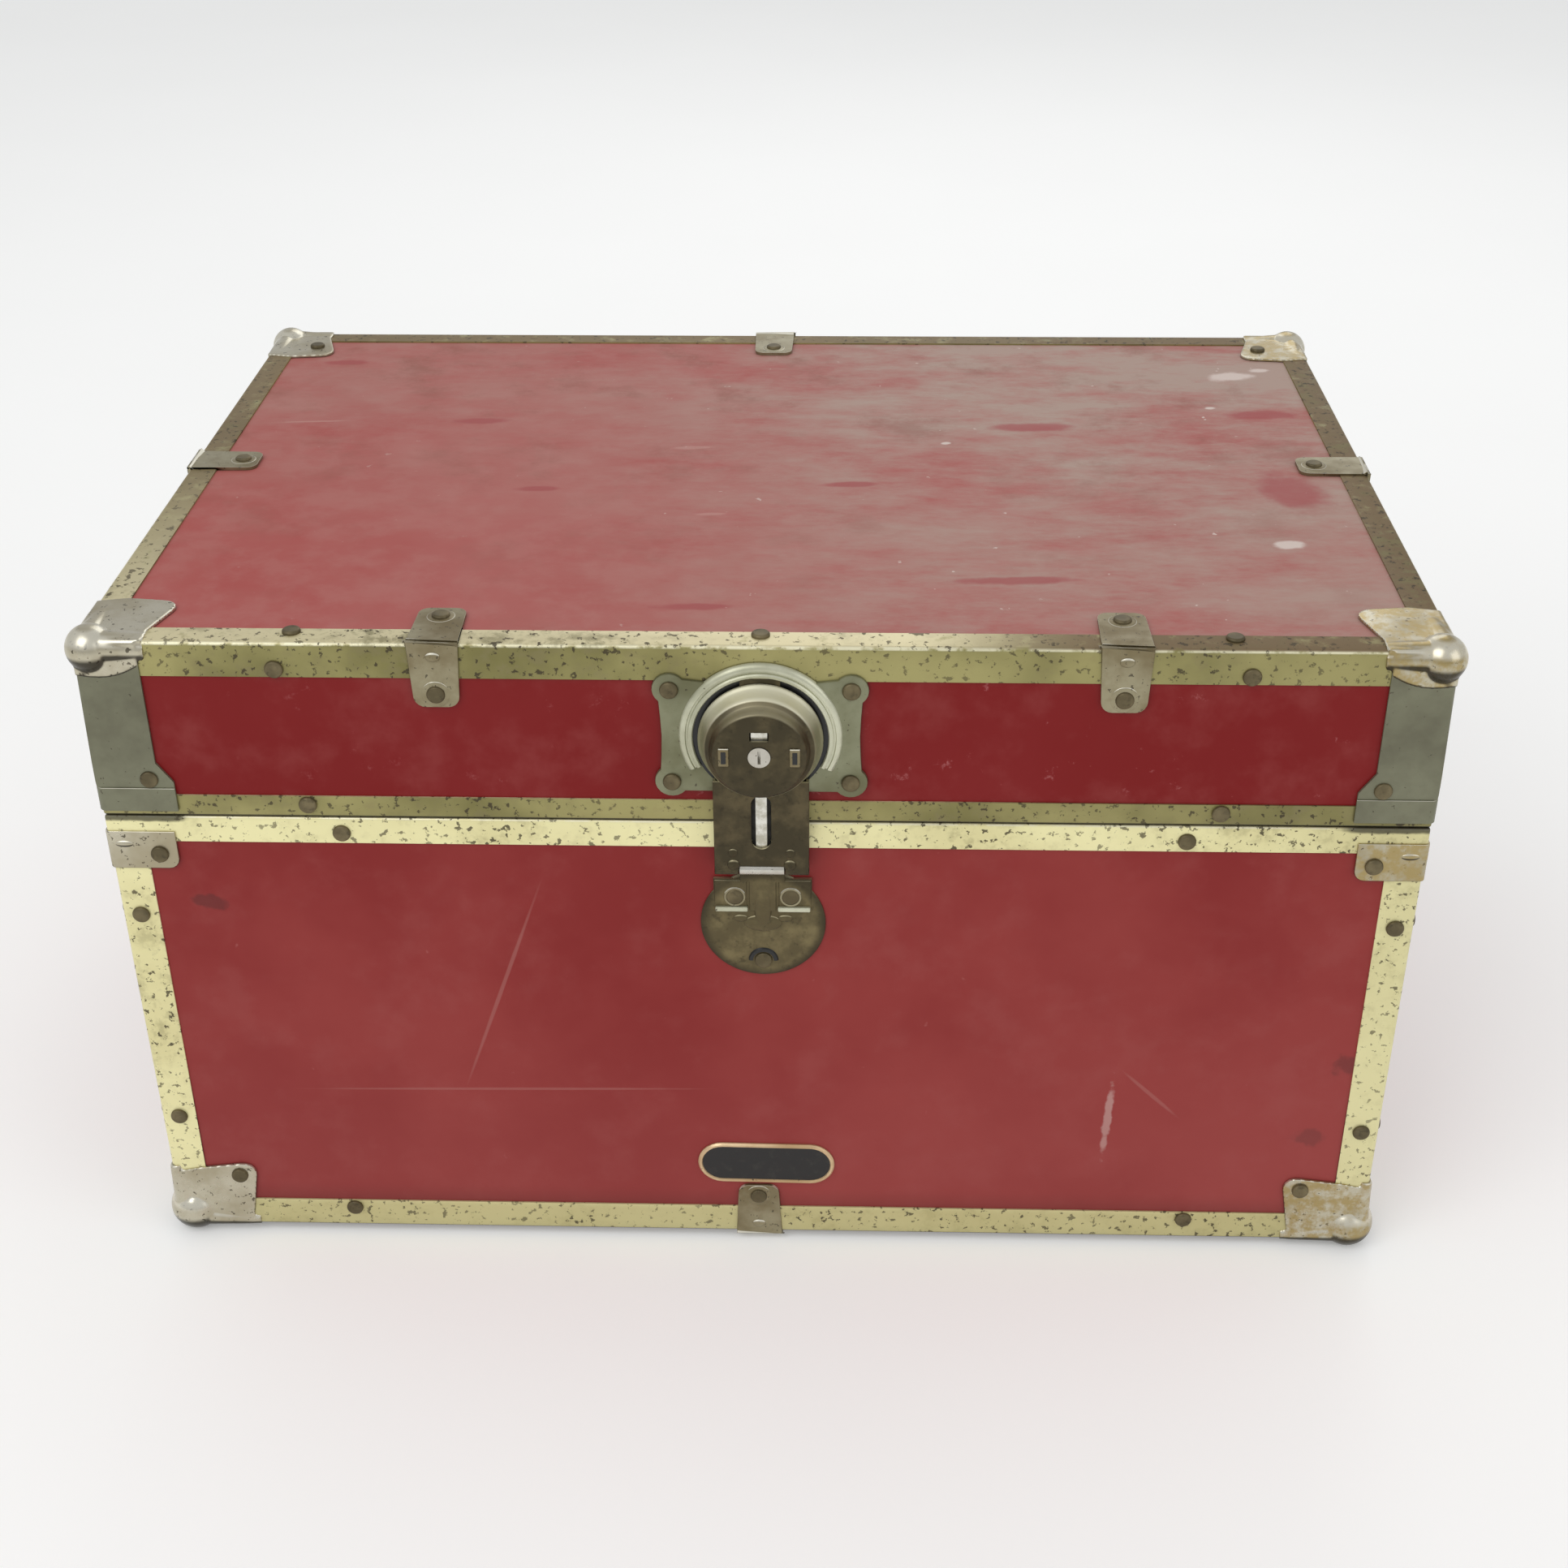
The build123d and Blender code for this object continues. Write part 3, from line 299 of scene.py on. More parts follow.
        # Lighter towards the bottom: partly dust, partly painted light reflected up from the
        # floor.
        low = sheet.times(sheet.rest_of(sheet.band(z, 0.03, 0.17)), 0.3)
        colour = sheet.mix(low, colour, srgb(168, 82, 79))
        flecks = sheet.band(sheet.noise(70.0, 3.0, 0.7), 0.7, 0.76)
        colour = sheet.mix(sheet.times(flecks, 0.4), colour, srgb(182, 112, 108))
        foot_dirt = sheet.rest_of(sheet.band(z, 0.02, 0.034))
        colour = sheet.mix(sheet.times(foot_dirt, 0.35), colour, srgb(96, 44, 40))
    sheet.bump(mottle, 0.12, 0.0006)
    sheet.bump(grain, 0.08, 0.0002)
    roughness = sheet.level(cloud, 0.38, 0.52)
    if on_lid:
        roughness = sheet.math("ADD", roughness, sheet.times(upward, 0.14))
    sheet.shader.inputs["Specular IOR Level"].default_value = 0.22
    return sheet.done(colour, roughness)


def binding_steel(name, pale, dull, tarnish, rust_from=0.06):
    """Thin steel in a pale brass finish, pitted black, going olive and then rusty brown; with
    painted highlights on its upper faces and folds, and painted shade on faces that look down and
    in the rim gap.
    """
    metal = Finish(name, 0.35)
    x, y, z = metal.axes()
    facing = metal.facing()
    patches = metal.noise(11.0, 4.0, 0.6)
    fine = metal.noise(90.0, 4.0, 0.65)
    pits = metal.noise(260.0, 4.0, 0.62)
    colour = metal.mix(metal.band(patches, 0.35, 0.7), pale, dull)
    dimmed = metal.times(metal.band(fine, 0.5, 0.8), 0.5 * tarnish)
    colour = metal.mix(dimmed, colour, srgb(150, 138, 92))
    upward = metal.band(facing["Z"], 0.5, 0.9)
    to_right = metal.band(x, rust_from, rust_from + 0.1)
    to_back = metal.band(y, -0.2, 0.06)
    worn = metal.math("MAXIMUM", to_right, metal.times(to_back, 0.9))
    colour = metal.mix(metal.times(to_right, 0.16), colour, srgb(120, 112, 70))
    # Painted highlight: faces that look up are lighter where the steel is not worn.
    lit_top = metal.times(metal.rest_of(worn), upward, metal.band(fine, 0.2, 0.45))
    colour = metal.mix(metal.times(lit_top, 0.85), colour, srgb(226, 214, 172))
    # Painted highlight along the folds, on faces that lean upward.
    flat = metal.band(facing["Z"], 0.85, 0.97)
    fold = metal.times(metal.band(facing["Z"], 0.2, 0.45), metal.rest_of(flat))
    fold = metal.times(fold, metal.band(fine, 0.36, 0.56))
    colour = metal.mix(metal.times(fold, 0.9), colour, srgb(240, 234, 200))
    worn = metal.times(worn, upward, metal.band(fine, 0.22, 0.5))
    colour = metal.mix(metal.times(worn, 0.9), colour, srgb(120, 97, 70))
    freckles = metal.times(
        metal.band(patches, 0.4, 0.68), metal.band(fine, 0.46, 0.66), 0.75 * tarnish)
    colour = metal.mix(freckles, colour, srgb(124, 116, 76))
    trodden = metal.times(metal.rest_of(metal.band(z, 0.018, 0.028)), 0.6)
    colour = metal.mix(trodden, colour, srgb(172, 162, 108))
    # Painted shade: near black on faces that look down and in the gap between the rims at the
    # front corners.
    faces_down_shade = metal.rest_of(metal.band(facing["Z"], -0.5, -0.08))
    patch = metal.most(*(
        metal.spot((hand * 288, FRONT, 251.8), (26, 60, 2.4), ragged=0.3) for hand in HANDS))
    painted_gap_shade = metal.most(faces_down_shade, metal.times(patch, 0.9))
    colour = metal.mix(metal.times(painted_gap_shade, 0.92), colour, srgb(30, 27, 17))
    specks = metal.band(pits, 0.578, 0.625)
    density = metal.level(metal.band(patches, 0.3, 0.62), 0.6, 1.0)
    specks = metal.times(specks, density)
    colour = metal.mix(metal.times(specks, 0.88), colour, srgb(62, 52, 34))
    metal.bump(specks, -0.5, 0.0003)
    metal.bump(fine, 0.15, 0.0004)
    rough = metal.level(metal.math("MAXIMUM", specks, worn), 0.34, 0.62)
    return metal.done(colour, rough)


def worn_nickel(
        name, clean, stained, metallic=0.75, smooth=0.26, speck_level=0.64, rust=0.0,
        below=0.0, fold=0.0):
    """Nickel plate, dulled and speckled, with brown stains where the plating has gone; fold adds
    painted highlights on folds, and below adds painted shade on faces that look down.
    """
    metal = Finish(name, metallic)
    x = metal.axes()["X"]
    patches = metal.noise(24.0, 4.0, 0.6)
    fine = metal.noise(150.0, 4.0, 0.65)
    pits = metal.noise(420.0, 2.0, 0.6)
    colour = metal.mix(metal.band(patches, 0.36, 0.68), clean, stained)
    colour = metal.mix(metal.times(metal.band(fine, 0.42, 0.72), 0.35), colour, stained)
    specks = metal.band(pits, speck_level, speck_level + 0.05)
    colour = metal.mix(metal.times(specks, 0.8), colour, srgb(70, 62, 48))
    if rust:
        right = metal.times(metal.band(x, 0.1, 0.28), rust)
        rusty = metal.times(right, metal.band(fine, 0.34, 0.6))
        colour = metal.mix(rusty, colour, srgb(168, 148, 98))
    rise = metal.facing()["Z"]
    # Painted highlight on faces that lean upward, along folds.
    if fold:
        lit = metal.times(metal.band(rise, 0.25, 0.5), metal.rest_of(metal.band(rise, 0.86, 0.97)))
        colour = metal.mix(metal.times(lit, fold), colour, srgb(238, 234, 218))
    # Painted shade and dark reflection on faces that look down.
    if below:
        shade = metal.times(metal.rest_of(metal.band(rise, -0.28, -0.02)), below)
        colour = metal.mix(shade, colour, srgb(36, 32, 24))
    metal.bump(fine, 0.1, 0.0003)
    metal.bump(specks, -0.3, 0.0002)
    return metal.done(colour, metal.level(metal.band(patches, 0.3, 0.7), smooth, smooth + 0.2))


def dark_brass(
        name, base, rubbed, metallic=0.7, smooth=0.34, ledges=0.0, rim=False, edge=False):
    """Antique brass: dark brown, rubbed lighter in patches, with painted highlights on ledges that
    face up and on the dome's rim, and painted shade round the shield's edge.
    """
    metal = Finish(name, metallic)
    patches = metal.noise(70.0, 4.0, 0.6)
    fine = metal.noise(260.0, 3.0, 0.6)
    colour = metal.mix(metal.band(patches, 0.4, 0.72), base, rubbed)
    colour = metal.mix(metal.times(metal.band(fine, 0.56, 0.7), 0.4), colour, srgb(44, 38, 26))
    # Painted highlight: a pale band round the dome's rim, brightest where it faces up.
    if rim:
        pale = metal.band(metal.from_axis(HUB_Z), 24.2 * MM, 24.9 * MM)
        upward = metal.band(metal.facing()["Z"], 0.2, 0.7)
        rim_highlight = metal.mix(upward, srgb(150, 148, 118), srgb(238, 236, 212))
        colour = metal.mix(pale, colour, rim_highlight)
    # Painted shade: the shield's outer edge is darkened.
    if edge:
        outer = metal.band(metal.from_axis(SHIELD_Z), 24.0 * MM, 29.0 * MM)
        colour = metal.mix(metal.times(outer, 0.7), colour, srgb(48, 42, 28))
    # Painted highlight on faces that look up.
    if ledges:
        upward = metal.band(metal.facing()["Z"], 0.3, 0.8)
        colour = metal.mix(metal.times(upward, ledges), colour, srgb(206, 196, 160))
    metal.bump(fine, 0.12, 0.0002)
    return metal.done(colour, metal.level(patches, smooth, smooth + 0.22))


def catch_finish():
    """The sliding catch: a bright rib and flag, with painted shade beside the rib."""
    metal = Finish("catch steel", 0.8)
    place = metal.axes()
    # Painted shade beside the rib, below the flag, where the catch lies in the hasp's window.
    shade_beside = metal.band(metal.math("ABSOLUTE", place["X"]), 2.3 * MM, 2.9 * MM)
    flag = metal.band(place["Z"], (HUB_Z - 0.5) * MM, HUB_Z * MM)
    shade_beside = metal.times(shade_beside, metal.rest_of(flag))
    fine = metal.noise(220.0, 3.0, 0.6)
    colour = metal.mix(metal.band(fine, 0.4, 0.7), srgb(228, 226, 216), srgb(184, 180, 164))
    colour = metal.mix(metal.times(shade_beside, 0.95), colour, srgb(22, 20, 15))
    return metal.done(colour, metal.level(shade_beside, 0.24, 0.7))


def plywood_finish():
    """Bare plywood: pale wood with long grain and darker plies."""
    wood = Finish("plywood")
    grain = wood.noise(30.0, 5.0, 0.6, wood.stretched(0.3, 3.0, 3.0), 0.8)
    fine = wood.noise(140.0, 3.0, 0.6, wood.stretched(0.15, 4.0, 4.0))
    colour = wood.mix(wood.band(grain, 0.35, 0.7), srgb(206, 174, 130), srgb(170, 132, 88))
    colour = wood.mix(wood.times(wood.band(fine, 0.5, 0.7), 0.4), colour, srgb(140, 104, 66))
    wood.bump(fine, 0.2, 0.0004)
    return wood.done(colour, wood.level(grain, 0.6, 0.8))


def softwood_finish():
    """The planed strips inside the rim."""
    wood = Finish("rim softwood")
    grain = wood.noise(44.0, 5.0, 0.6, wood.stretched(0.2, 0.2, 3.0), 0.6)
    colour = wood.mix(wood.band(grain, 0.35, 0.7), srgb(190, 150, 102), srgb(150, 108, 66))
    wood.bump(grain, 0.2, 0.0004)
    return wood.done(colour, 0.62)


def lining_finish():
    """Cream lining paper, browned in patches, with fine fibres."""
    paper = Finish("lining paper")
    patches = paper.noise(9.0, 5.0, 0.6)
    fibres = paper.noise(260.0, 3.0, 0.7)
    colour = paper.mix(paper.band(patches, 0.35, 0.7), srgb(214, 203, 176), srgb(190, 170, 134))
    flecks = paper.times(paper.band(fibres, 0.6, 0.75), 0.3)
    colour = paper.mix(flecks, colour, srgb(160, 138, 104))
    paper.bump(fibres, 0.2, 0.0003)
    return paper.done(colour, 0.85)


def grip_finish():
    """Dark brown leather, creased and rubbed."""
    hide = Finish("grip leather")
    cells = hide.add("ShaderNodeTexVoronoi", {"Vector": hide.place, "Scale": 900.0})
    creases = hide.noise(120.0, 5.0, 0.6)
    colour = hide.mix(hide.band(creases, 0.4, 0.7), srgb(74, 42, 26), srgb(104, 64, 40))
    hide.bump(cells.outputs["Distance"], 0.35, 0.0004)
    hide.bump(creases, 0.3, 0.0006)
    return hide.done(colour, hide.level(creases, 0.42, 0.62))


def thread_finish():
    """Waxed linen thread."""
    thread = Finish("waxed thread")
    twist = thread.noise(900.0, 2.0)
    thread.bump(twist, 0.4, 0.0002)
    return thread.done(thread.mix(twist, srgb(176, 150, 108), srgb(140, 112, 74)), 0.6)


def enamel_finish():
    """Black enamel on the nameplate, finely scuffed; the same black stands for painted shade in
    the lock's gaps and hollows.
    """
    enamel = Finish("black enamel and painted shade")
    dust = enamel.noise(160.0, 4.0, 0.6)
    colour = enamel.mix(enamel.band(dust, 0.5, 0.8), srgb(20, 20, 19), srgb(44, 43, 38))
    enamel.bump(dust, 0.08, 0.0002)
    return enamel.done(colour, enamel.level(dust, 0.25, 0.42))


fibre_body = fibre("red fibre on the body", False)
fibre_lid = fibre("red fibre on the lid", True)
# Two copies of one steel: the body's is paler, partly painted reflection of the bright floor, and
# the lid's darker olive, partly painted dark reflection; the rest is tarnish and rust.
body_steel = binding_steel(
    "brassed steel with painted floor reflection", srgb(240, 233, 178), srgb(222, 213, 158), 0.45, 0.2)
lid_steel = binding_steel("brassed steel with painted dark reflection", srgb(164, 156, 100), srgb(116, 110, 60), 1.0)
# below paints shade on faces that look down; fold paints highlights along folds.
nickel = worn_nickel(
    "worn nickel", srgb(196, 190, 170), srgb(168, 158, 132), metallic=0.85, smooth=0.2,
    rust=0.9, below=0.9, fold=0.6)
post_nickel = worn_nickel(
    "grey nickel", srgb(122, 122, 100), srgb(104, 102, 83), 0.5, 0.34, 0.7, fold=0.5)
clip_nickel = worn_nickel(
    "brown nickel", srgb(156, 148, 120), srgb(118, 104, 72), 0.6, 0.3, fold=0.8)
hub_nickel = worn_nickel("green nickel", srgb(136, 137, 110), srgb(110, 109, 80), 0.6, 0.3, 0.68)
ring_nickel = worn_nickel("ring nickel", srgb(206, 206, 182), srgb(176, 176, 150), 0.6, 0.26, 0.7)
# ledges and rim add painted highlights; edge adds painted shade round the shield.
lock_brass = dark_brass("antique brass", srgb(66, 59, 41), srgb(98, 87, 62), ledges=0.75)
head_brass = dark_brass("domed brass", srgb(66, 59, 41), srgb(92, 82, 58), ledges=0.4, rim=True)
shield_brass = dark_brass(
    "rubbed antique brass", srgb(94, 84, 58), srgb(126, 114, 80), ledges=0.7, edge=True)
rivet_metal = dark_brass("dark rivet heads", srgb(92, 82, 58), srgb(126, 114, 84), 0.6, 0.38)
bright = worn_nickel("bright steel", srgb(214, 212, 204), srgb(178, 172, 158), 0.9, 0.18, 0.7)
gold = worn_nickel("pale gold", srgb(222, 196, 156), srgb(190, 158, 116), 0.6, 0.28, 0.68)
plywood = plywood_finish()
softwood = softwood_finish()
paper_lining = lining_finish()
leather = grip_finish()
linen = thread_finish()
black = enamel_finish()

CAD_FINISHES = {
    "body_covering": fibre_body,
    "lid_covering": fibre_lid,
    "body_rim_strips": softwood,
    "hasp_pin": lock_brass,
    "hinge_pins": bright,
    "key_plug": bright,
    "catch": catch_finish(),
}
SHARED_FINISHES = {"_lining": paper_lining, "_rivets": rivet_metal, "_board": plywood}
for node_name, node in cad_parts.items():
    finish = CAD_FINISHES.get(node_name, nickel)
    for ending, shared in SHARED_FINISHES.items():
        if node_name.endswith(ending):
            finish = shared
    node.data.materials.clear()
    node.data.materials.append(finish)


def box(shape, low, high):
    """Add a block between two corners, and give back its faces."""
    made = bmesh.ops.create_cube(shape, size=1.0)["verts"]
    size = [b - a for a, b in zip(low, high)]
    bmesh.ops.scale(shape, vec=size, verts=made)
    bmesh.ops.translate(shape, vec=[(a + b) / 2 for a, b in zip(low, high)], verts=made)
    return sorted({face for vert in made for face in vert.link_faces}, key=lambda f: f.index)


def bar(shape, start, end, radius, end_radius=None, segments=32):
    """Add a round bar, or a tapered one, between two points."""
    start, end = Vector(start), Vector(end)
    along = end - start
    turn = along.to_track_quat("Z", "Y").to_matrix().to_4x4()
    bmesh.ops.create_cone(
        shape, cap_ends=True, segments=segments, radius1=radius,
        radius2=radius if end_radius is None else end_radius, depth=along.length,
        matrix=Matrix.Translation((start + end) / 2) @ turn,
    )


def ball(shape, centre, radii, segments=32):
    """Add a ball with its own radius along each axis."""
    bmesh.ops.create_uvsphere(
        shape, u_segments=segments, v_segments=segments // 2, radius=1.0,
        matrix=Matrix.Translation(centre) @ Matrix.Diagonal((*radii, 1.0)),
    )


def turned(shape, profile, centre, steps=72, start=0.0, sweep=360.0):
    """Spin a profile of radius and reach about the lock's axis, which points to the front."""
    start = math.radians(start)
    out = Vector((math.cos(start), 0, math.sin(start)))
    verts = [
        shape.verts.new(Vector(centre) + out * radius + Vector((0, -reach, 0)))
        for radius, reach in profile
    ]
    edges = [shape.edges.new(pair) for pair in zip(verts, verts[1:])]
    bmesh.ops.spin(
        shape, geom=verts + edges, cent=centre, axis=(0, -1, 0), angle=math.radians(sweep),
        steps=steps, use_merge=sweep >= 360.0, use_duplicate=False,
    )


def outline(shape, points):
    """Add one flat face round a list of points."""
    return shape.faces.new([shape.verts.new(point) for point in points])


def round_edges(shape, edges, offset, segments=3):
    """Round a set of edges."""
    bmesh.ops.bevel(
        shape, geom=list(edges), offset=offset, segments=segments, profile=0.5,
        affect="EDGES", material=-1, clamp_overlap=True,
    )


def round_corners(shape, verts, offset, segments=4):
    """Round the corners of a flat face."""
    bmesh.ops.bevel(
        shape, geom=list(verts), offset=offset, segments=segments, profile=0.5,
        affect="VERTICES", material=-1, clamp_overlap=True,
    )


def sharp_edges(shape):
    """Shade smoothly but for open edges and those that turn sharply."""
    for face in shape.faces:
        face.smooth = True
    for edge in shape.edges:
        edge.smooth = edge.is_manifold and edge.calc_face_angle(0.0) <= SHARP


def to_metres(shape):
    """Bring a shape drawn in millimetres to metres."""
    bmesh.ops.scale(shape, vec=(MM, MM, MM), verts=shape.verts)


def placed(name, shape):
    """Turn a shape into an object in the scene."""
    mesh = bpy.data.meshes.new(name)
    shape.to_mesh(mesh)
    shape.free()
    made = bpy.data.objects.new(name, mesh)
    bpy.context.scene.collection.objects.link(made)
    return made


def soften(made, width):
    """Round a piece's sharp edges a little."""
    soft = made.modifiers.new("soft edges", "BEVEL")
    soft.width = width * MM
    soft.segments = 2
    soft.limit_method = "ANGLE"
    soft.angle_limit = SHARP
    soft.harden_normals = True


def piece(name, shape, finish, body, nodes=(), edge=0.0):
    """Make a piece from a closed shape in millimetres, and let it ride on its body."""
    bmesh.ops.remove_doubles(shape, verts=shape.verts, dist=0.001)
    bmesh.ops.recalc_face_normals(shape, faces=shape.faces)
    to_metres(shape)
    sharp_edges(shape)
    made = placed(name, shape)
    made.data.materials.append(finish)
    if edge:
        soften(made, edge)
    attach(made, body)
    if nodes:
        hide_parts(*nodes)
    return made


def outward(shape, inside):
    """Turn the faces of an open sheet away from a point inside the trunk."""
    for face in shape.faces:
        if (face.calc_center_median() - inside).dot(face.normal) < 0:
            face.normal_flip()


def sheet_piece(name, shape, finish, body, nodes, gauge, edge=0.0):
    """Make a folded sheet piece, thickened towards the trunk."""
    to_metres(shape)
    shape.normal_update()
    outward(shape, Vector(INSIDE) * MM)
    sharp_edges(shape)
    made = placed(name, shape)
    made.data.materials.append(finish)
    wall = made.modifiers.new("gauge", "SOLIDIFY")
    wall.thickness = gauge * MM
    wall.offset = -1.0
    wall.use_even_offset = True
    if edge:
        soften(made, edge)
    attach(made, body)
    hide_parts(*nodes)
    return made


def folded_binding(name, low, high, fold_on_top, leg, fold, finish, body):
    """A strip folded over an edge all the way round the trunk."""
    shape = bmesh.new()
    faces = box(shape, (-HALF_WIDTH, FRONT, low), (HALF_WIDTH, BACK, high))
    shape.normal_update()
    up = 1 if fold_on_top else -1
    folded = next(face for face in faces if face.normal.z * up > 0.9)
    opened = next(face for face in faces if face.normal.z * up < -0.9)
    bmesh.ops.delete(shape, geom=[opened], context="FACES_ONLY")
    upright = [edge for edge in shape.edges if abs(edge.verts[0].co.z - edge.verts[1].co.z) > 1]
    round_edges(shape, set(upright) | set(folded.edges), fold)
    shape.normal_update()
    flat = max(
        (face for face in shape.faces if face.normal.z * up > 0.99), key=lambda f: f.calc_area())
    bmesh.ops.inset_individual(shape, faces=[flat], thickness=leg - fold)
    bmesh.ops.delete(shape, geom=[flat], context="FACES")
    return sheet_piece(name, shape, finish, body, [name], GAUGE)


folded_binding("lid_top_binding", TOP - 17.0, TOP, True, 19.5, FOLD, lid_steel, "lid")
folded_binding("lid_rim_binding", LID_RIM, LID_RIM + 11.0, False, WALL, RIM_FOLD, lid_steel, "lid")
folded_binding(
    "body_rim_binding", BODY_RIM - 13.5, BODY_RIM, True, WALL, RIM_FOLD, body_steel, "trunk_body")
folded_binding(
    "body_bottom_binding", BASE, BASE + 16.5, False, 14.0, RIM_FOLD, body_steel, "trunk_body")


def angle_strip(shape, hands, low, high, width, proud, fold, flare=None):
    """Add a folded strip round one upright corner.

    flare gives the width of its lower end, that end's height and the height of the slope."""
    x_hand, y_hand = hands
    corner = Vector((x_hand * (HALF_WIDTH + proud), MIDDLE + y_hand * (HALF_DEPTH + proud), 0))
    levels = [(high, width), (low, width)]
    if flare:
        wide, end, slope = flare
        levels = [(high, width), (low + end + slope, width), (low + end, wide), (low, wide)]
    rings = []
    for level, run in levels:
        rings.append((
            shape.verts.new(corner + Vector((-x_hand * (run + proud), 0, level))),
            shape.verts.new(corner + Vector((0, 0, level))),
            shape.verts.new(corner + Vector((0, -y_hand * (run + proud), level))),
        ))
    folds = []
    for upper, lower in zip(rings, rings[1:]):
        for side in (0, 1):
            shape.faces.new((upper[side], upper[side + 1], lower[side + 1], lower[side]))
        folds.append(shape.edges.get((upper[1], lower[1])))
    round_edges(shape, folds, fold)


def corner_bindings():
    """The four upright corner strips of the body."""
    shape = bmesh.new()
    for hands in CORNERS.values():
        angle_strip(shape, hands, BASE + 14.0, BODY_RIM - 12.0, 17.5, -0.1, FOLD)
    sheet_piece(
        "body_corner_bindings", shape, body_steel, "trunk_body",
        ["body_corner_bindings"], GAUGE)


def rim_brackets():
    """The four small brackets below the body's rim, each with a pressed dimple."""
    shape = bmesh.new()
    for hands in CORNERS.values():
        angle_strip(shape, hands, 224.7, 244.7, 32.0, CAP_PROUD, 2.5)
    ends = [vert for vert in shape.verts if len(vert.link_faces) == 1 and vert.co.z < 230]
    round_corners(shape, ends, 5.0)
    sheet_piece(
        "body_rim_brackets", shape, nickel, "trunk_body",
        ["body_rim_brackets"], 1.7, 0.35)
    along_face, off_face, dimple_z = 7.5, -0.6, 238.0
    dimples = bmesh.new()
    for x_hand, y_hand in CORNERS.values():
        for x_in, y_in, radii in (
            (along_face, off_face, (4.6, 1.1, 1.9)),
            (off_face, along_face, (1.1, 4.6, 1.9)),
        ):
            place = (x_hand * (HALF_WIDTH - x_in), MIDDLE + y_hand * (HALF_DEPTH - y_in), dimple_z)
            ball(dimples, place, radii, 20)
    piece("bracket_dimples", dimples, nickel, "trunk_body")


corner_bindings()
rim_brackets()


def after_cut(target, cutter):
    """The mesh that is left of an object once a cutter is taken out of it."""
    cut = target.modifiers.new("cut", "BOOLEAN")
    cut.operation = "DIFFERENCE"
    cut.object = cutter
    cut.solver = "EXACT"
    cut.use_self = True
    bpy.context.view_layer.update()
    evaluated = target.evaluated_get(bpy.context.evaluated_depsgraph_get())
    mesh = bpy.data.meshes.new_from_object(evaluated)
    bpy.data.objects.remove(cutter)
    return mesh


def pressed_cap(name, leaves, beads, ball_at, ball_radius, flat_below=None):
    """Press a corner cap in one piece: leaves, rounded folds and a ball, hollow behind.

    The trunk's corner is at nothing, with its inside towards plus on all three axes."""
    shape = bmesh.new()
    for normal_axis, points, tip in leaves:
        flat = []
        for u, v in points:
            spot = [0.0, 0.0, 0.0]
            others = [axis for axis in range(3) if axis != normal_axis]
            spot[others[0]], spot[others[1]] = u, v
            spot[normal_axis] = -CAP_PROUD
            flat.append(spot)
        face = outline(shape, flat)
        round_corners(shape, [face.verts[tip]], 9.0, 5)
        shape.faces.ensure_lookup_table()
        face = shape.faces[-1]
        grown = bmesh.ops.extrude_face_region(shape, geom=[face])["geom"]
        shift = [0.0, 0.0, 0.0]
        shift[normal_axis] = LEAF_DEPTH
        verts = [item for item in grown if isinstance(item, bmesh.types.BMVert)]
        bmesh.ops.translate(shape, vec=shift, verts=verts)
    for axis, length, start_radius, end_radius in beads:
        start = Vector((4.4, 4.4, 4.4))
        end = Vector((end_radius - 1.2,) * 3)
        end[axis] = length
        bar(shape, start, end, start_radius, end_radius, 40)
    ball(shape, (ball_at,) * 3, (ball_radius,) * 3, 48)
    bmesh.ops.recalc_face_normals(shape, faces=shape.faces)
    to_metres(shape)
    blank = placed(name, shape)
    skin = blank.modifiers.new("press", "REMESH")
    skin.mode = "VOXEL"
    skin.voxel_size = VOXEL * MM
    smooth = blank.modifiers.new("ease", "SMOOTH")
    smooth.factor = 0.5
    smooth.iterations = 4
    core = bmesh.new()
    box(core, (0.4, 0.4, 0.4), (120.0, 120.0, 120.0))
    if flat_below is not None:
        box(core, (-60.0, -60.0, -60.0), (120.0, 120.0, flat_below))
    to_metres(core)
    pressed = after_cut(blank, placed("core", core))
    bpy.data.objects.remove(blank)
    return pressed


def place_cap(name, pressed, hands, corner_z, up, finish, body, nodes):
    """Set a pressed cap at one corner of the trunk."""
    x_hand, y_hand = hands
    shape = bmesh.new()
    shape.from_mesh(pressed)
    bmesh.ops.scale(shape, vec=(-x_hand, -y_hand, up), verts=shape.verts)
    corner = Vector((x_hand * HALF_WIDTH, MIDDLE + y_hand * HALF_DEPTH, corner_z)) * MM
    bmesh.ops.translate(shape, vec=corner, verts=shape.verts)
    if x_hand * y_hand * up < 0:
        bmesh.ops.reverse_faces(shape, faces=shape.faces)
    bmesh.ops.scale(shape, vec=(1 / MM,) * 3, verts=shape.verts)
    return piece(name, shape, finish, body, nodes)


FOOT_LEAF = ((0, 0), (38, 0), (45, 41), (14, 37), (0, 34))
foot_press = pressed_cap(
    "foot_press",
    ((1, FOOT_LEAF, 2), (0, FOOT_LEAF, 2), (2, ((0, 0), (36, 0), (44, 44), (0, 36)), 2)),
    ((0, 42.0, 7.6, 3.6), (1, 42.0, 7.6, 3.6), (2, 38.0, 7.6, 3.2)),
    7.4, 13.4, -5.0,
)
LID_TOP_LEAF = ((0, 0), (31, 0), (31, 9), (40, 40), (14, 43), (0, 40))
COLLAR = ((0, 0), (28.5, 0), (28.5, 12), (16, 19), (0, 17))
lid_press = pressed_cap(
    "lid_press",
    ((2, LID_TOP_LEAF, 3), (1, COLLAR, 3), (0, COLLAR, 3)),
    ((0, 31.5, 7.4, 6.6), (1, 31.5, 7.4, 6.6), (2, 16.0, 7.4, 5.0)),
    6.0, 11.0,
)
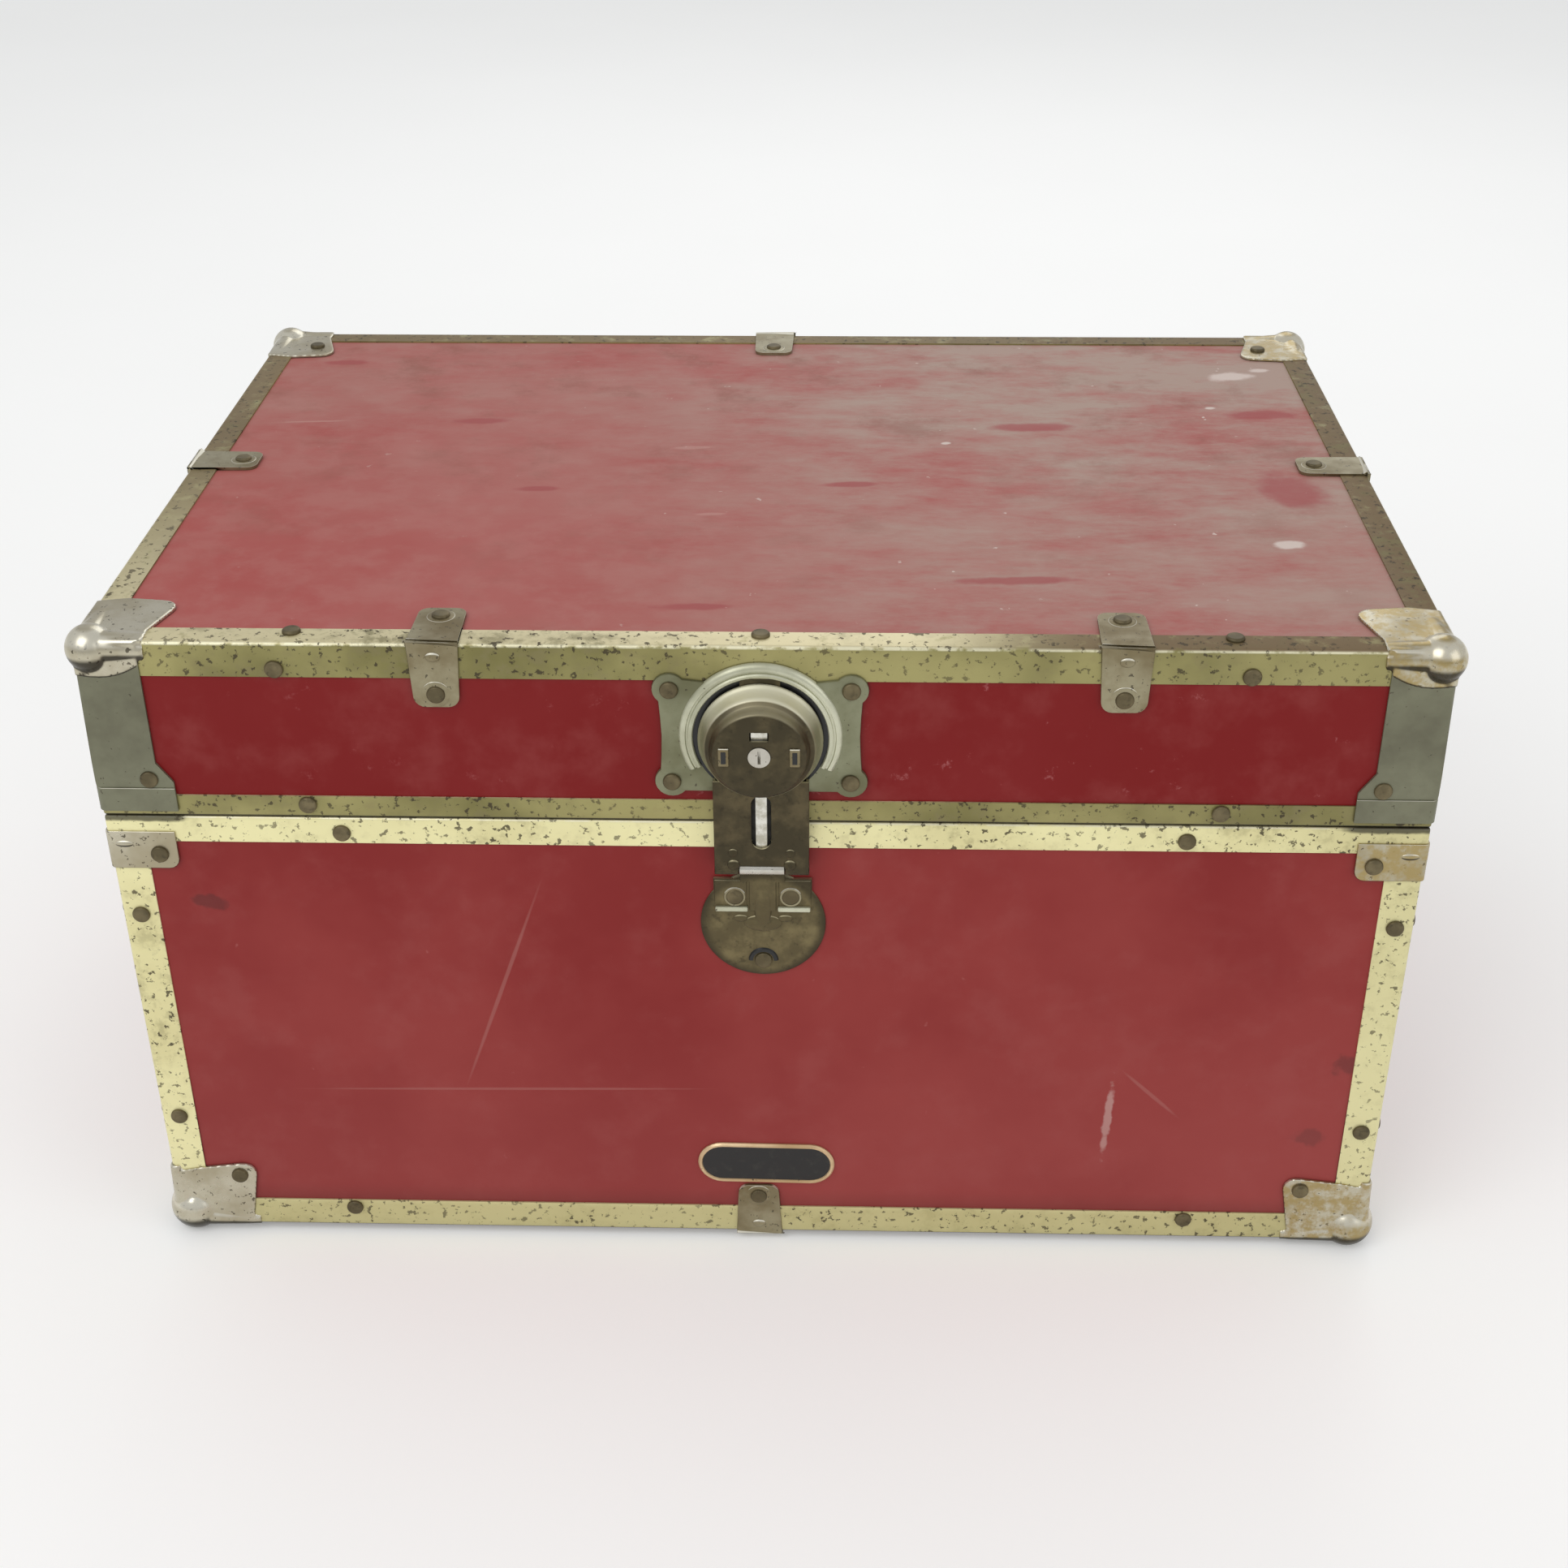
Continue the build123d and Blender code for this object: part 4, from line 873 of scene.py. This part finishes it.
for corner_name, hands in CORNERS.items():
    place_cap(
        f"foot_cap_{corner_name}", foot_press, hands, BASE, 1, nickel, "trunk_body",
        [f"foot_cap_{corner_name}"])
    place_cap(
        f"lid_cap_{corner_name}", lid_press, hands, TOP, -1, nickel, "lid",
        [f"lid_cap_{corner_name}"])
    post = bmesh.new()
    angle_strip(post, hands, 256.3, 333.0, 28.5, 0.6, 3.0, (35.5, 15.0, 10.0))
    sheet_piece(
        f"lid_post_{corner_name}", post, post_nickel, "lid",
        [f"lid_cap_{corner_name}"], 1.3, 0.3)
    foot = bmesh.new()
    angle_strip(foot, hands, 256.0, 268.3, 35.8, 1.3, 3.2)
    sheet_piece(
        f"lid_post_fold_{corner_name}", foot, post_nickel, "lid",
        [f"lid_cap_{corner_name}"], 1.2, 0.4)


def edge_clip(name, origin, along, inward, up, leg_in, leg_down, body):
    """A clip folded over an edge, tapered and rounded at both ends, with a pressed lug."""
    half, proud = 11.5, CAP_PROUD
    shape = bmesh.new()
    fold = [shape.verts.new((hand * half, -proud, proud)) for hand in HANDS]
    ends = []
    for width, y, z in ((half - 0.8, leg_in, proud), (half - 1.4, -proud, -leg_down)):
        tips = [shape.verts.new((hand * width, y, z)) for hand in HANDS]
        shape.faces.new((fold[0], fold[1], tips[1], tips[0]))
        ends += tips
    round_corners(shape, ends, 5.0, 5)
    fold_line = Vector((0, -proud, proud))
    crease = [
        edge for edge in shape.edges
        if all((vert.co - fold_line).yz.length < 0.01 for vert in edge.verts)
    ]
    round_edges(shape, crease, 1.7)
    lug = bmesh.new()
    ball(lug, (0, -proud, -6.0), (3.4, 1.0, 2.4), 20)
    ball(lug, (0, leg_in - 8.5, proud), (6.4, 6.4, 0.5), 24)
    ball(lug, (0, -proud, 6.5 - leg_down), (6.4, 0.6, 6.4), 24)
    frame_turn = Matrix((
        (along[0], inward[0], up[0], origin[0]),
        (along[1], inward[1], up[1], origin[1]),
        (along[2], inward[2], up[2], origin[2]),
        (0, 0, 0, 1),
    ))
    for part in (shape, lug):
        bmesh.ops.transform(part, matrix=frame_turn, verts=part.verts)
    sheet_piece(name, shape, clip_nickel, body, [name], 1.7, 0.35)
    piece(name + "_dishes", lug, clip_nickel, body)


for clip_name, origin, along, inward in (
    ("lid_clip_front_left", (-144.5, FRONT, TOP), (1, 0, 0), (0, 1, 0)),
    ("lid_clip_front_right", (161.0, FRONT, TOP), (1, 0, 0), (0, 1, 0)),
    ("lid_clip_back", (-6.5, BACK, TOP), (-1, 0, 0), (0, -1, 0)),
    ("lid_clip_left", (-HALF_WIDTH, MIDDLE + 3.0, TOP), (0, -1, 0), (1, 0, 0)),
    ("lid_clip_right", (HALF_WIDTH, MIDDLE + 3.0, TOP), (0, 1, 0), (-1, 0, 0)),
):
    edge_clip(clip_name, origin, along, inward, (0, 0, 1), 34.5, 31.0, "lid")
edge_clip(
    "body_clip_front", (-4.0, FRONT, BASE), (-1, 0, 0), (0, 1, 0), (0, 0, -1), 31.0, 31.0,
    "trunk_body")


def arc(centre, radius, start, end, steps):
    """Points on part of a circle in the front plane, between two angles in degrees."""
    points = []
    for step in range(steps + 1):
        angle = math.radians(start + (end - start) * step / steps)
        points.append((centre[0] + radius * math.cos(angle), centre[1] + radius * math.sin(angle)))
    return points


def front_plate(shape, points, back_y, gauge, edge):
    """Add a plate on the front from its outline in X and Z, with its front edge rounded."""
    face = outline(shape, [(x, back_y, z) for x, z in points])
    face.normal_update()
    grown = bmesh.ops.extrude_face_region(shape, geom=[face])["geom"]
    verts = [item for item in grown if isinstance(item, bmesh.types.BMVert)]
    cap = next(item for item in grown if isinstance(item, bmesh.types.BMFace))
    bmesh.ops.translate(shape, vec=(0, -gauge, 0), verts=verts)
    if edge:
        round_edges(shape, cap.edges, edge, 2)


def hub_plate():
    """The lock plate on the lid: a waisted plate with four lobes, and a stepped ring."""
    lobes = [
        arc((x_hand * 40.5, z_hand * 23.5), 7.8, first, first + 190, 12)
        for x_hand, z_hand, first in ((1, 1, -50), (-1, 1, 40), (-1, -1, 130), (1, -1, 220))
    ]
    waist = [(45.0, 10.0), (44.6, 0.0), (45.0, -10.0)]
    points = lobes[0] + arc((0, 0), 34.0, 52, 128, 8) + lobes[1]
    points += [(-x, z) for x, z in waist] + lobes[2] + lobes[3] + waist[::-1]
    shape = bmesh.new()
    front_plate(shape, [(x, HUB_Z + z) for x, z in points], FRONT + 0.4, 2.0, 0.7)
    piece("hub_plate", shape, hub_nickel, "lid", ["hub_plate"])
    ring = bmesh.new()
    turned(
        ring,
        ((30.4, 0.6), (30.4, 3.2), (30.9, 3.7), (31.9, 3.8), (32.6, 3.3), (32.8, 2.3),
         (33.7, 2.3), (34.0, 3.0), (34.9, 3.0), (35.9, 2.4), (36.7, 1.6), (37.0, 0.6),
         (30.4, 0.6)),
        (0, FRONT, HUB_Z), 64, -28.0, 236.0)
    piece("hub_ring", ring, ring_nickel, "lid", ["hub_plate"])
    # Painted shade: a black ring in the gap between the hasp's dome and the stepped ring.
    ring_shade = bmesh.new()
    turned(
        ring_shade, ((24.0, 0.5), (24.0, 2.15), (30.5, 2.15), (30.5, 0.5), (24.0, 0.5)),
        (0, FRONT, HUB_Z), 64)
    piece("hub_ring_shade", ring_shade, black, "lid")
    keeper = bmesh.new()
    box(keeper, (-9.0, FRONT - 3.6, HUB_Z + 26.0), (9.0, FRONT - 2.75, HUB_Z + 30.6))
    piece("keeper_lip", keeper, lock_brass, "lid", edge=0.25)


def cut_away(target, cutter):
    """Cut a shape out of a piece, and keep the result as its mesh."""
    bmesh.ops.recalc_face_normals(cutter, faces=cutter.faces)
    to_metres(cutter)
    shape = bmesh.new()
    shape.from_mesh(after_cut(target, placed("cutter", cutter)))
    target.modifiers.clear()
    shape.normal_update()
    sharp_edges(shape)
    shape.to_mesh(target.data)
    shape.free()


def hasp():
    """The hasp: a hollow two-step dome, and a slotted strap with turned-back sides."""
    centre = (0, FRONT, HUB_Z)
    dome = bmesh.new()
    turned(
        dome,
        ((0, 20.0), (19.8, 20.0), (20.7, 19.7), (21.3, 19.0), (21.8, 17.0), (22.3, 15.0),
         (23.0, 14.1), (24.2, 13.6), (25.0, 12.8), (25.5, 11.0), (26.0, 8.6), (26.8, 6.8),
         (27.3, 5.9), (28.0, 5.3), (28.2, 4.8), (28.2, 3.9), (26.6, 3.9), (25.2, 5.4),
         (24.4, 8.4), (23.6, 12.2), (21.4, 13.0), (20.6, 15.0), (20.0, 18.6), (0, 18.6)),
        centre)
    turned(dome, ((5.1, 18.2), (6.8, 18.2), (6.8, 9.3), (5.1, 9.3), (5.1, 18.2)), centre, 40)
    head = piece("hasp_head", dome, head_brass, "hasp", ["hasp"])
    holes = bmesh.new()
    bar(holes, (0, FRONT - 24, HUB_Z), (0, FRONT - 16, HUB_Z), 5.15, segments=40)
    box(holes, (-4.2, FRONT - 24, HUB_Z + 7.7), (4.2, FRONT - 16, HUB_Z + 12.3))
    box(holes, (-8.3, STRAP_BACK, HUB_Z - 32), (8.3, FRONT, HUB_Z - 18))
    cut_away(head, holes)
    bosses = bmesh.new()
    for hand in HANDS:
        box(bosses, (hand * 15.8 - 2.4, FRONT - 21.0, HUB_Z - 4.6),
            (hand * 15.8 + 2.4, FRONT - 19.4, HUB_Z + 4.6))
    piece("hasp_bosses", bosses, clip_nickel, "hasp", edge=0.7)
    # Painted shade: a black block in the middle of each ring-like boss.
    hole_shade = bmesh.new()
    for hand in HANDS:
        box(hole_shade, (hand * 15.8 - 1.1, FRONT - 21.15, HUB_Z - 3.0),
            (hand * 15.8 + 1.1, FRONT - 20.6, HUB_Z + 3.0))
    piece("boss_hole_shade", hole_shade, black, "hasp", edge=0.1)
    strap = bmesh.new()
    box(strap, (-21.8, STRAP_FACE, PIN_Z + 2.6), (21.8, STRAP_BACK, HUB_Z - 20.0))
    plate = piece("hasp_strap", strap, lock_brass, "hasp", ["hasp"])
    slot = bmesh.new()
    for level in (247.5, 266.5):
        bar(slot, (0, STRAP_FACE - 3, level), (0, STRAP_BACK + 3, level), 4.5, segments=32)
    box(slot, (-4.5, STRAP_FACE - 3, 247.5), (4.5, STRAP_BACK + 3, 266.5))
    cut_away(plate, slot)
    soften(plate, 0.45)
    rails = bmesh.new()
    for hand in HANDS:
        inner, outer = sorted((hand * 20.4, hand * 21.8))
        box(rails, (inner, STRAP_FACE + 0.5, PIN_Z + 6.2), (outer, FRONT - 3.9, HUB_Z - 20.0))
        inner, outer = sorted((hand * 8.3, hand * 9.8))
        box(rails, (inner, STRAP_BACK - 0.3, 245.5), (outer, FRONT - 3.9, 270.5))
        bar(rails, (hand * 10.7, PIN_Y, PIN_Z), (hand * 21.8, PIN_Y, PIN_Z), 3.2, segments=28)
        inner, outer = sorted((hand * 10.7, hand * 21.8))
        box(rails, (inner, STRAP_FACE, PIN_Z), (outer, STRAP_BACK, PIN_Z + 3.2))
    piece("hasp_rails", rails, lock_brass, "hasp", ["hasp"], edge=0.3)
    beads = bmesh.new()
    for hand in HANDS:
        ball(beads, (hand * 13.0, STRAP_FACE, 234.2), (2.9, 1.2, 2.9), 24)
        ball(beads, (hand * 13.2, STRAP_FACE, 240.6), (2.3, 0.7, 2.3), 20)
    piece("hasp_beads", beads, shield_brass, "hasp")


def shield():
    """The shield plate below the hasp: a dished disc, a neck, two pads and a ridge."""
    shape = bmesh.new()
    centre = (0, FRONT, SHIELD_Z)
    turned(
        shape,
        ((0, 1.2), (12.0, 1.2), (24.0, 1.1), (27.4, 0.9), (28.9, 0.5), (29.5, -0.1),
         (29.5, -0.7), (0, -0.7)),
        centre, 72)
    box(shape, (-23.0, FRONT - 1.0, SHIELD_Z + 6.0), (23.0, FRONT + 0.7, SHIELD_Z + 25.5))
    piece("shield_plate", shape, shield_brass, "trunk_body", ["shield_plate"])
    relief = bmesh.new()
    for hand in HANDS:
        low, high = sorted((hand * 7.5, hand * 22.6))
        box(relief, (low, FRONT - 1.5, SHIELD_Z + 10.0), (high, FRONT - 0.5, SHIELD_Z + 24.8))
    box(relief, (-6.2, FRONT - 2.0, SHIELD_Z + 8.0), (6.2, FRONT - 0.5, SHIELD_Z + 25.0))
    piece("shield_pads", relief, shield_brass, "trunk_body", edge=0.4)
    ledges = bmesh.new()
    for hand in HANDS:
        low, high = sorted((hand * 7.0, hand * 22.4))
        box(ledges, (low, FRONT - 3.0, SHIELD_Z + 8.0), (high, FRONT - 0.8, SHIELD_Z + 10.6))
    piece("shield_ledges", ledges, ring_nickel, "trunk_body", edge=0.7)
    collars = bmesh.new()
    for hand in HANDS:
        turned(
            collars, ((4.1, 1.2), (4.1, 2.0), (4.9, 2.1), (5.4, 1.2), (4.1, 1.2)),
            (hand * SHIELD_RIVET_X, FRONT, SHIELD_Z + SHIELD_RIVET_RISE), 40)
    piece("shield_collars", collars, clip_nickel, "trunk_body")
    # Painted shade: a black half ring in the upper part of the recess below the shield's centre.
    recess_shade = bmesh.new()
    turned(
        recess_shade, ((5.0, 1.0), (5.0, 1.9), (6.6, 1.9), (7.2, 1.0), (5.0, 1.0)),
        (0, FRONT, SHIELD_Z - SHIELD_RIVET_DROP), 40, 0.0, 180.0)
    piece("shield_recess_shade", recess_shade, black, "trunk_body")
    details = bmesh.new()
    ball(details, (0, FRONT - 1.4, SHIELD_Z + 10.0), (4.0, 1.5, 14.0), 28)
    ball(details, (0, FRONT - 1.2, SHIELD_Z + 1.0), (9.0, 1.2, 4.6), 28)
    for hand in HANDS:
        ball(details, (hand * 10.5, FRONT - 1.2, SHIELD_Z + 3.6), (3.4, 0.9, 2.0), 20)
    piece("shield_dishes", details, shield_brass, "trunk_body")
    leaf = bmesh.new()
    box(leaf, (-10.4, FRONT - 2.0, PIN_Z - 9.5), (10.4, FRONT + 0.3, PIN_Z + 1.0))
    piece("shield_leaf", leaf, shield_brass, "trunk_body", edge=0.3)
    knuckle = bmesh.new()
    bar(knuckle, (-10.4, PIN_Y, PIN_Z), (10.4, PIN_Y, PIN_Z), 3.2, segments=28)
    piece("shield_knuckle", knuckle, bright, "trunk_body", edge=0.3)


def stadium(width, height):
    """Points round a plate with half-round ends."""
    radius = height / 2
    run = width / 2 - radius
    return arc((run, 0), radius, -90, 90, 14) + arc((-run, 0), radius, 90, 270, 14)


def nameplate():
    """The nameplate: a bare black field in a rounded pale gold edge."""
    lean = -0.012
    field = bmesh.new()
    points = [(x, NAMEPLATE_Z + z + x * lean) for x, z in stadium(65.6, 21.6)]
    front_plate(field, points, FRONT + 0.7, 0.9, 0.0)
    piece("nameplate_field", field, black, "trunk_body", ["nameplate"])
    edge = bmesh.new()
    profile = (
        (69.0, 25.0, -0.7), (69.0, 25.0, 0.1), (67.4, 23.4, 0.9),
        (65.4, 21.4, 0.8), (64.6, 20.6, 0.2), (64.6, 20.6, -0.7),
    )
    for width, height, reach in profile:
        ring = [
            edge.verts.new((x, FRONT - reach, NAMEPLATE_Z + z + x * lean))
            for x, z in stadium(width, height)
        ]
        for first, second in zip(ring, ring[1:] + ring[:1]):
            edge.edges.new((first, second))
    edge.edges.ensure_lookup_table()
    count = len(stadium(1.0, 0.5))
    made = list(edge.edges)
    rings = [made[index * count:(index + 1) * count] for index in range(len(profile))]
    for first, second in zip(rings, rings[1:] + rings[:1]):
        bmesh.ops.bridge_loops(edge, edges=first + second)
    piece("nameplate_edge", edge, gold, "trunk_body", ["nameplate"])


hub_plate()
hasp()
shield()
nameplate()


def handle_grip(hand, side):
    """A leather grip, swelled in the middle, with a stitched seam along its back."""
    x = hand * EYE_X
    shape = bmesh.new()
    stations = (-33.0, -31.8, -28.0, -16.0, 0.0, 16.0, 28.0, 31.8, 33.0)
    radii = (5.2, 6.6, 7.2, 7.8, 8.0, 7.8, 7.2, 6.6, 5.2)
    rings = []
    for along, radius in zip(stations, radii):
        turn = Matrix.Rotation(math.pi / 2, 4, "X")
        turn = Matrix.Translation((x, MIDDLE + along, GRIP_Z)) @ turn
        made = bmesh.ops.create_circle(shape, segments=32, radius=radius, matrix=turn)["verts"]
        rings.append([edge for edge in shape.edges if all(v in made for v in edge.verts)])
    for first, second in zip(rings, rings[1:]):
        bmesh.ops.bridge_loops(shape, edges=first + second)
    bmesh.ops.holes_fill(shape, edges=[e for e in shape.edges if e.is_boundary], sides=40)
    grip = piece(
        f"handle_grip_{side}", shape, leather, f"handle_{side}",
        [f"handle_grip_{side}"])
    soft = grip.modifiers.new("rounding", "SUBSURF")
    soft.levels = soft.render_levels = 1
    stitches = bmesh.new()
    for step in range(-6, 7):
        for drop in (-1.3, 1.3):
            place = (x - hand * 7.35, MIDDLE + step * 4.2, GRIP_Z + drop)
            ball(stitches, place, (0.5, 1.5, 0.45), 10)
    piece(f"grip_stitches_{side}", stitches, linen, f"handle_{side}")


for hand, side in ((-1, "left"), (1, "right")):
    handle_grip(hand, side)


def stage_set():
    """A plain pale floor, soft lamps and the camera at the photograph's viewpoint."""
    scene = bpy.context.scene
    shape = bmesh.new()
    bmesh.ops.create_grid(shape, x_segments=1, y_segments=1, size=9.0)
    floor = placed("floor", shape)
    ground = Finish("pale floor")
    colour = ground.mix(ground.noise(3.0), srgb(244, 244, 242), srgb(240, 240, 238))
    ground.shader.inputs["Emission Color"].default_value = (1.0, 1.0, 0.985, 1.0)
    ground.shader.inputs["Emission Strength"].default_value = 0.21
    floor.data.materials.append(ground.done(colour, 0.9))
    world = bpy.data.worlds.new("studio")
    world.use_nodes = True
    backdrop = world.node_tree.nodes["Background"]
    backdrop.inputs["Color"].default_value = (0.97, 0.98, 1.0, 1.0)
    backdrop.inputs["Strength"].default_value = 0.62
    scene.world = world
    lamps = (
        ("key", (-1.1, -1.5, 2.1), 1.6, 17.0),
        ("fill", (1.7, -1.3, 1.2), 1.4, 4.5),
        ("rear", (0.3, 1.9, 1.7), 1.5, 7.0),
    )
    for lamp_name, place, size, power in lamps:
        lamp = bpy.data.lights.new(lamp_name, "AREA")
        lamp.size = size
        lamp.energy = power
        made = bpy.data.objects.new(lamp_name, lamp)
        made.location = place
        aim = Vector((0, 0, 0.17)) - Vector(place)
        made.rotation_mode = "QUATERNION"
        made.rotation_quaternion = aim.to_track_quat("-Z", "Y")
        scene.collection.objects.link(made)
    yaw, pitch, roll = (math.radians(v) for v in (-1.84581844, 30.54772226, -0.38852108))
    ahead = Vector((
        math.sin(yaw) * math.cos(pitch), math.cos(yaw) * math.cos(pitch), -math.sin(pitch)))
    right = Vector((math.cos(yaw), -math.sin(yaw), 0.0))
    up = right.cross(ahead)
    rolled_right = right * math.cos(roll) + up * math.sin(roll)
    rolled_up = up * math.cos(roll) - right * math.sin(roll)
    lens = bpy.data.cameras.new("camera")
    lens.lens = 49.746
    lens.sensor_width = 36.0
    lens.clip_start = 0.01
    camera = bpy.data.objects.new("camera", lens)
    spot = Vector((0.03757, -1.04754, 0.77354))
    camera.matrix_world = Matrix((
        (rolled_right.x, rolled_up.x, -ahead.x, spot.x),
        (rolled_right.y, rolled_up.y, -ahead.y, spot.y),
        (rolled_right.z, rolled_up.z, -ahead.z, spot.z),
        (0, 0, 0, 1),
    ))
    scene.collection.objects.link(camera)
    scene.camera = camera
    scene.view_settings.view_transform = "Standard"


stage_set()
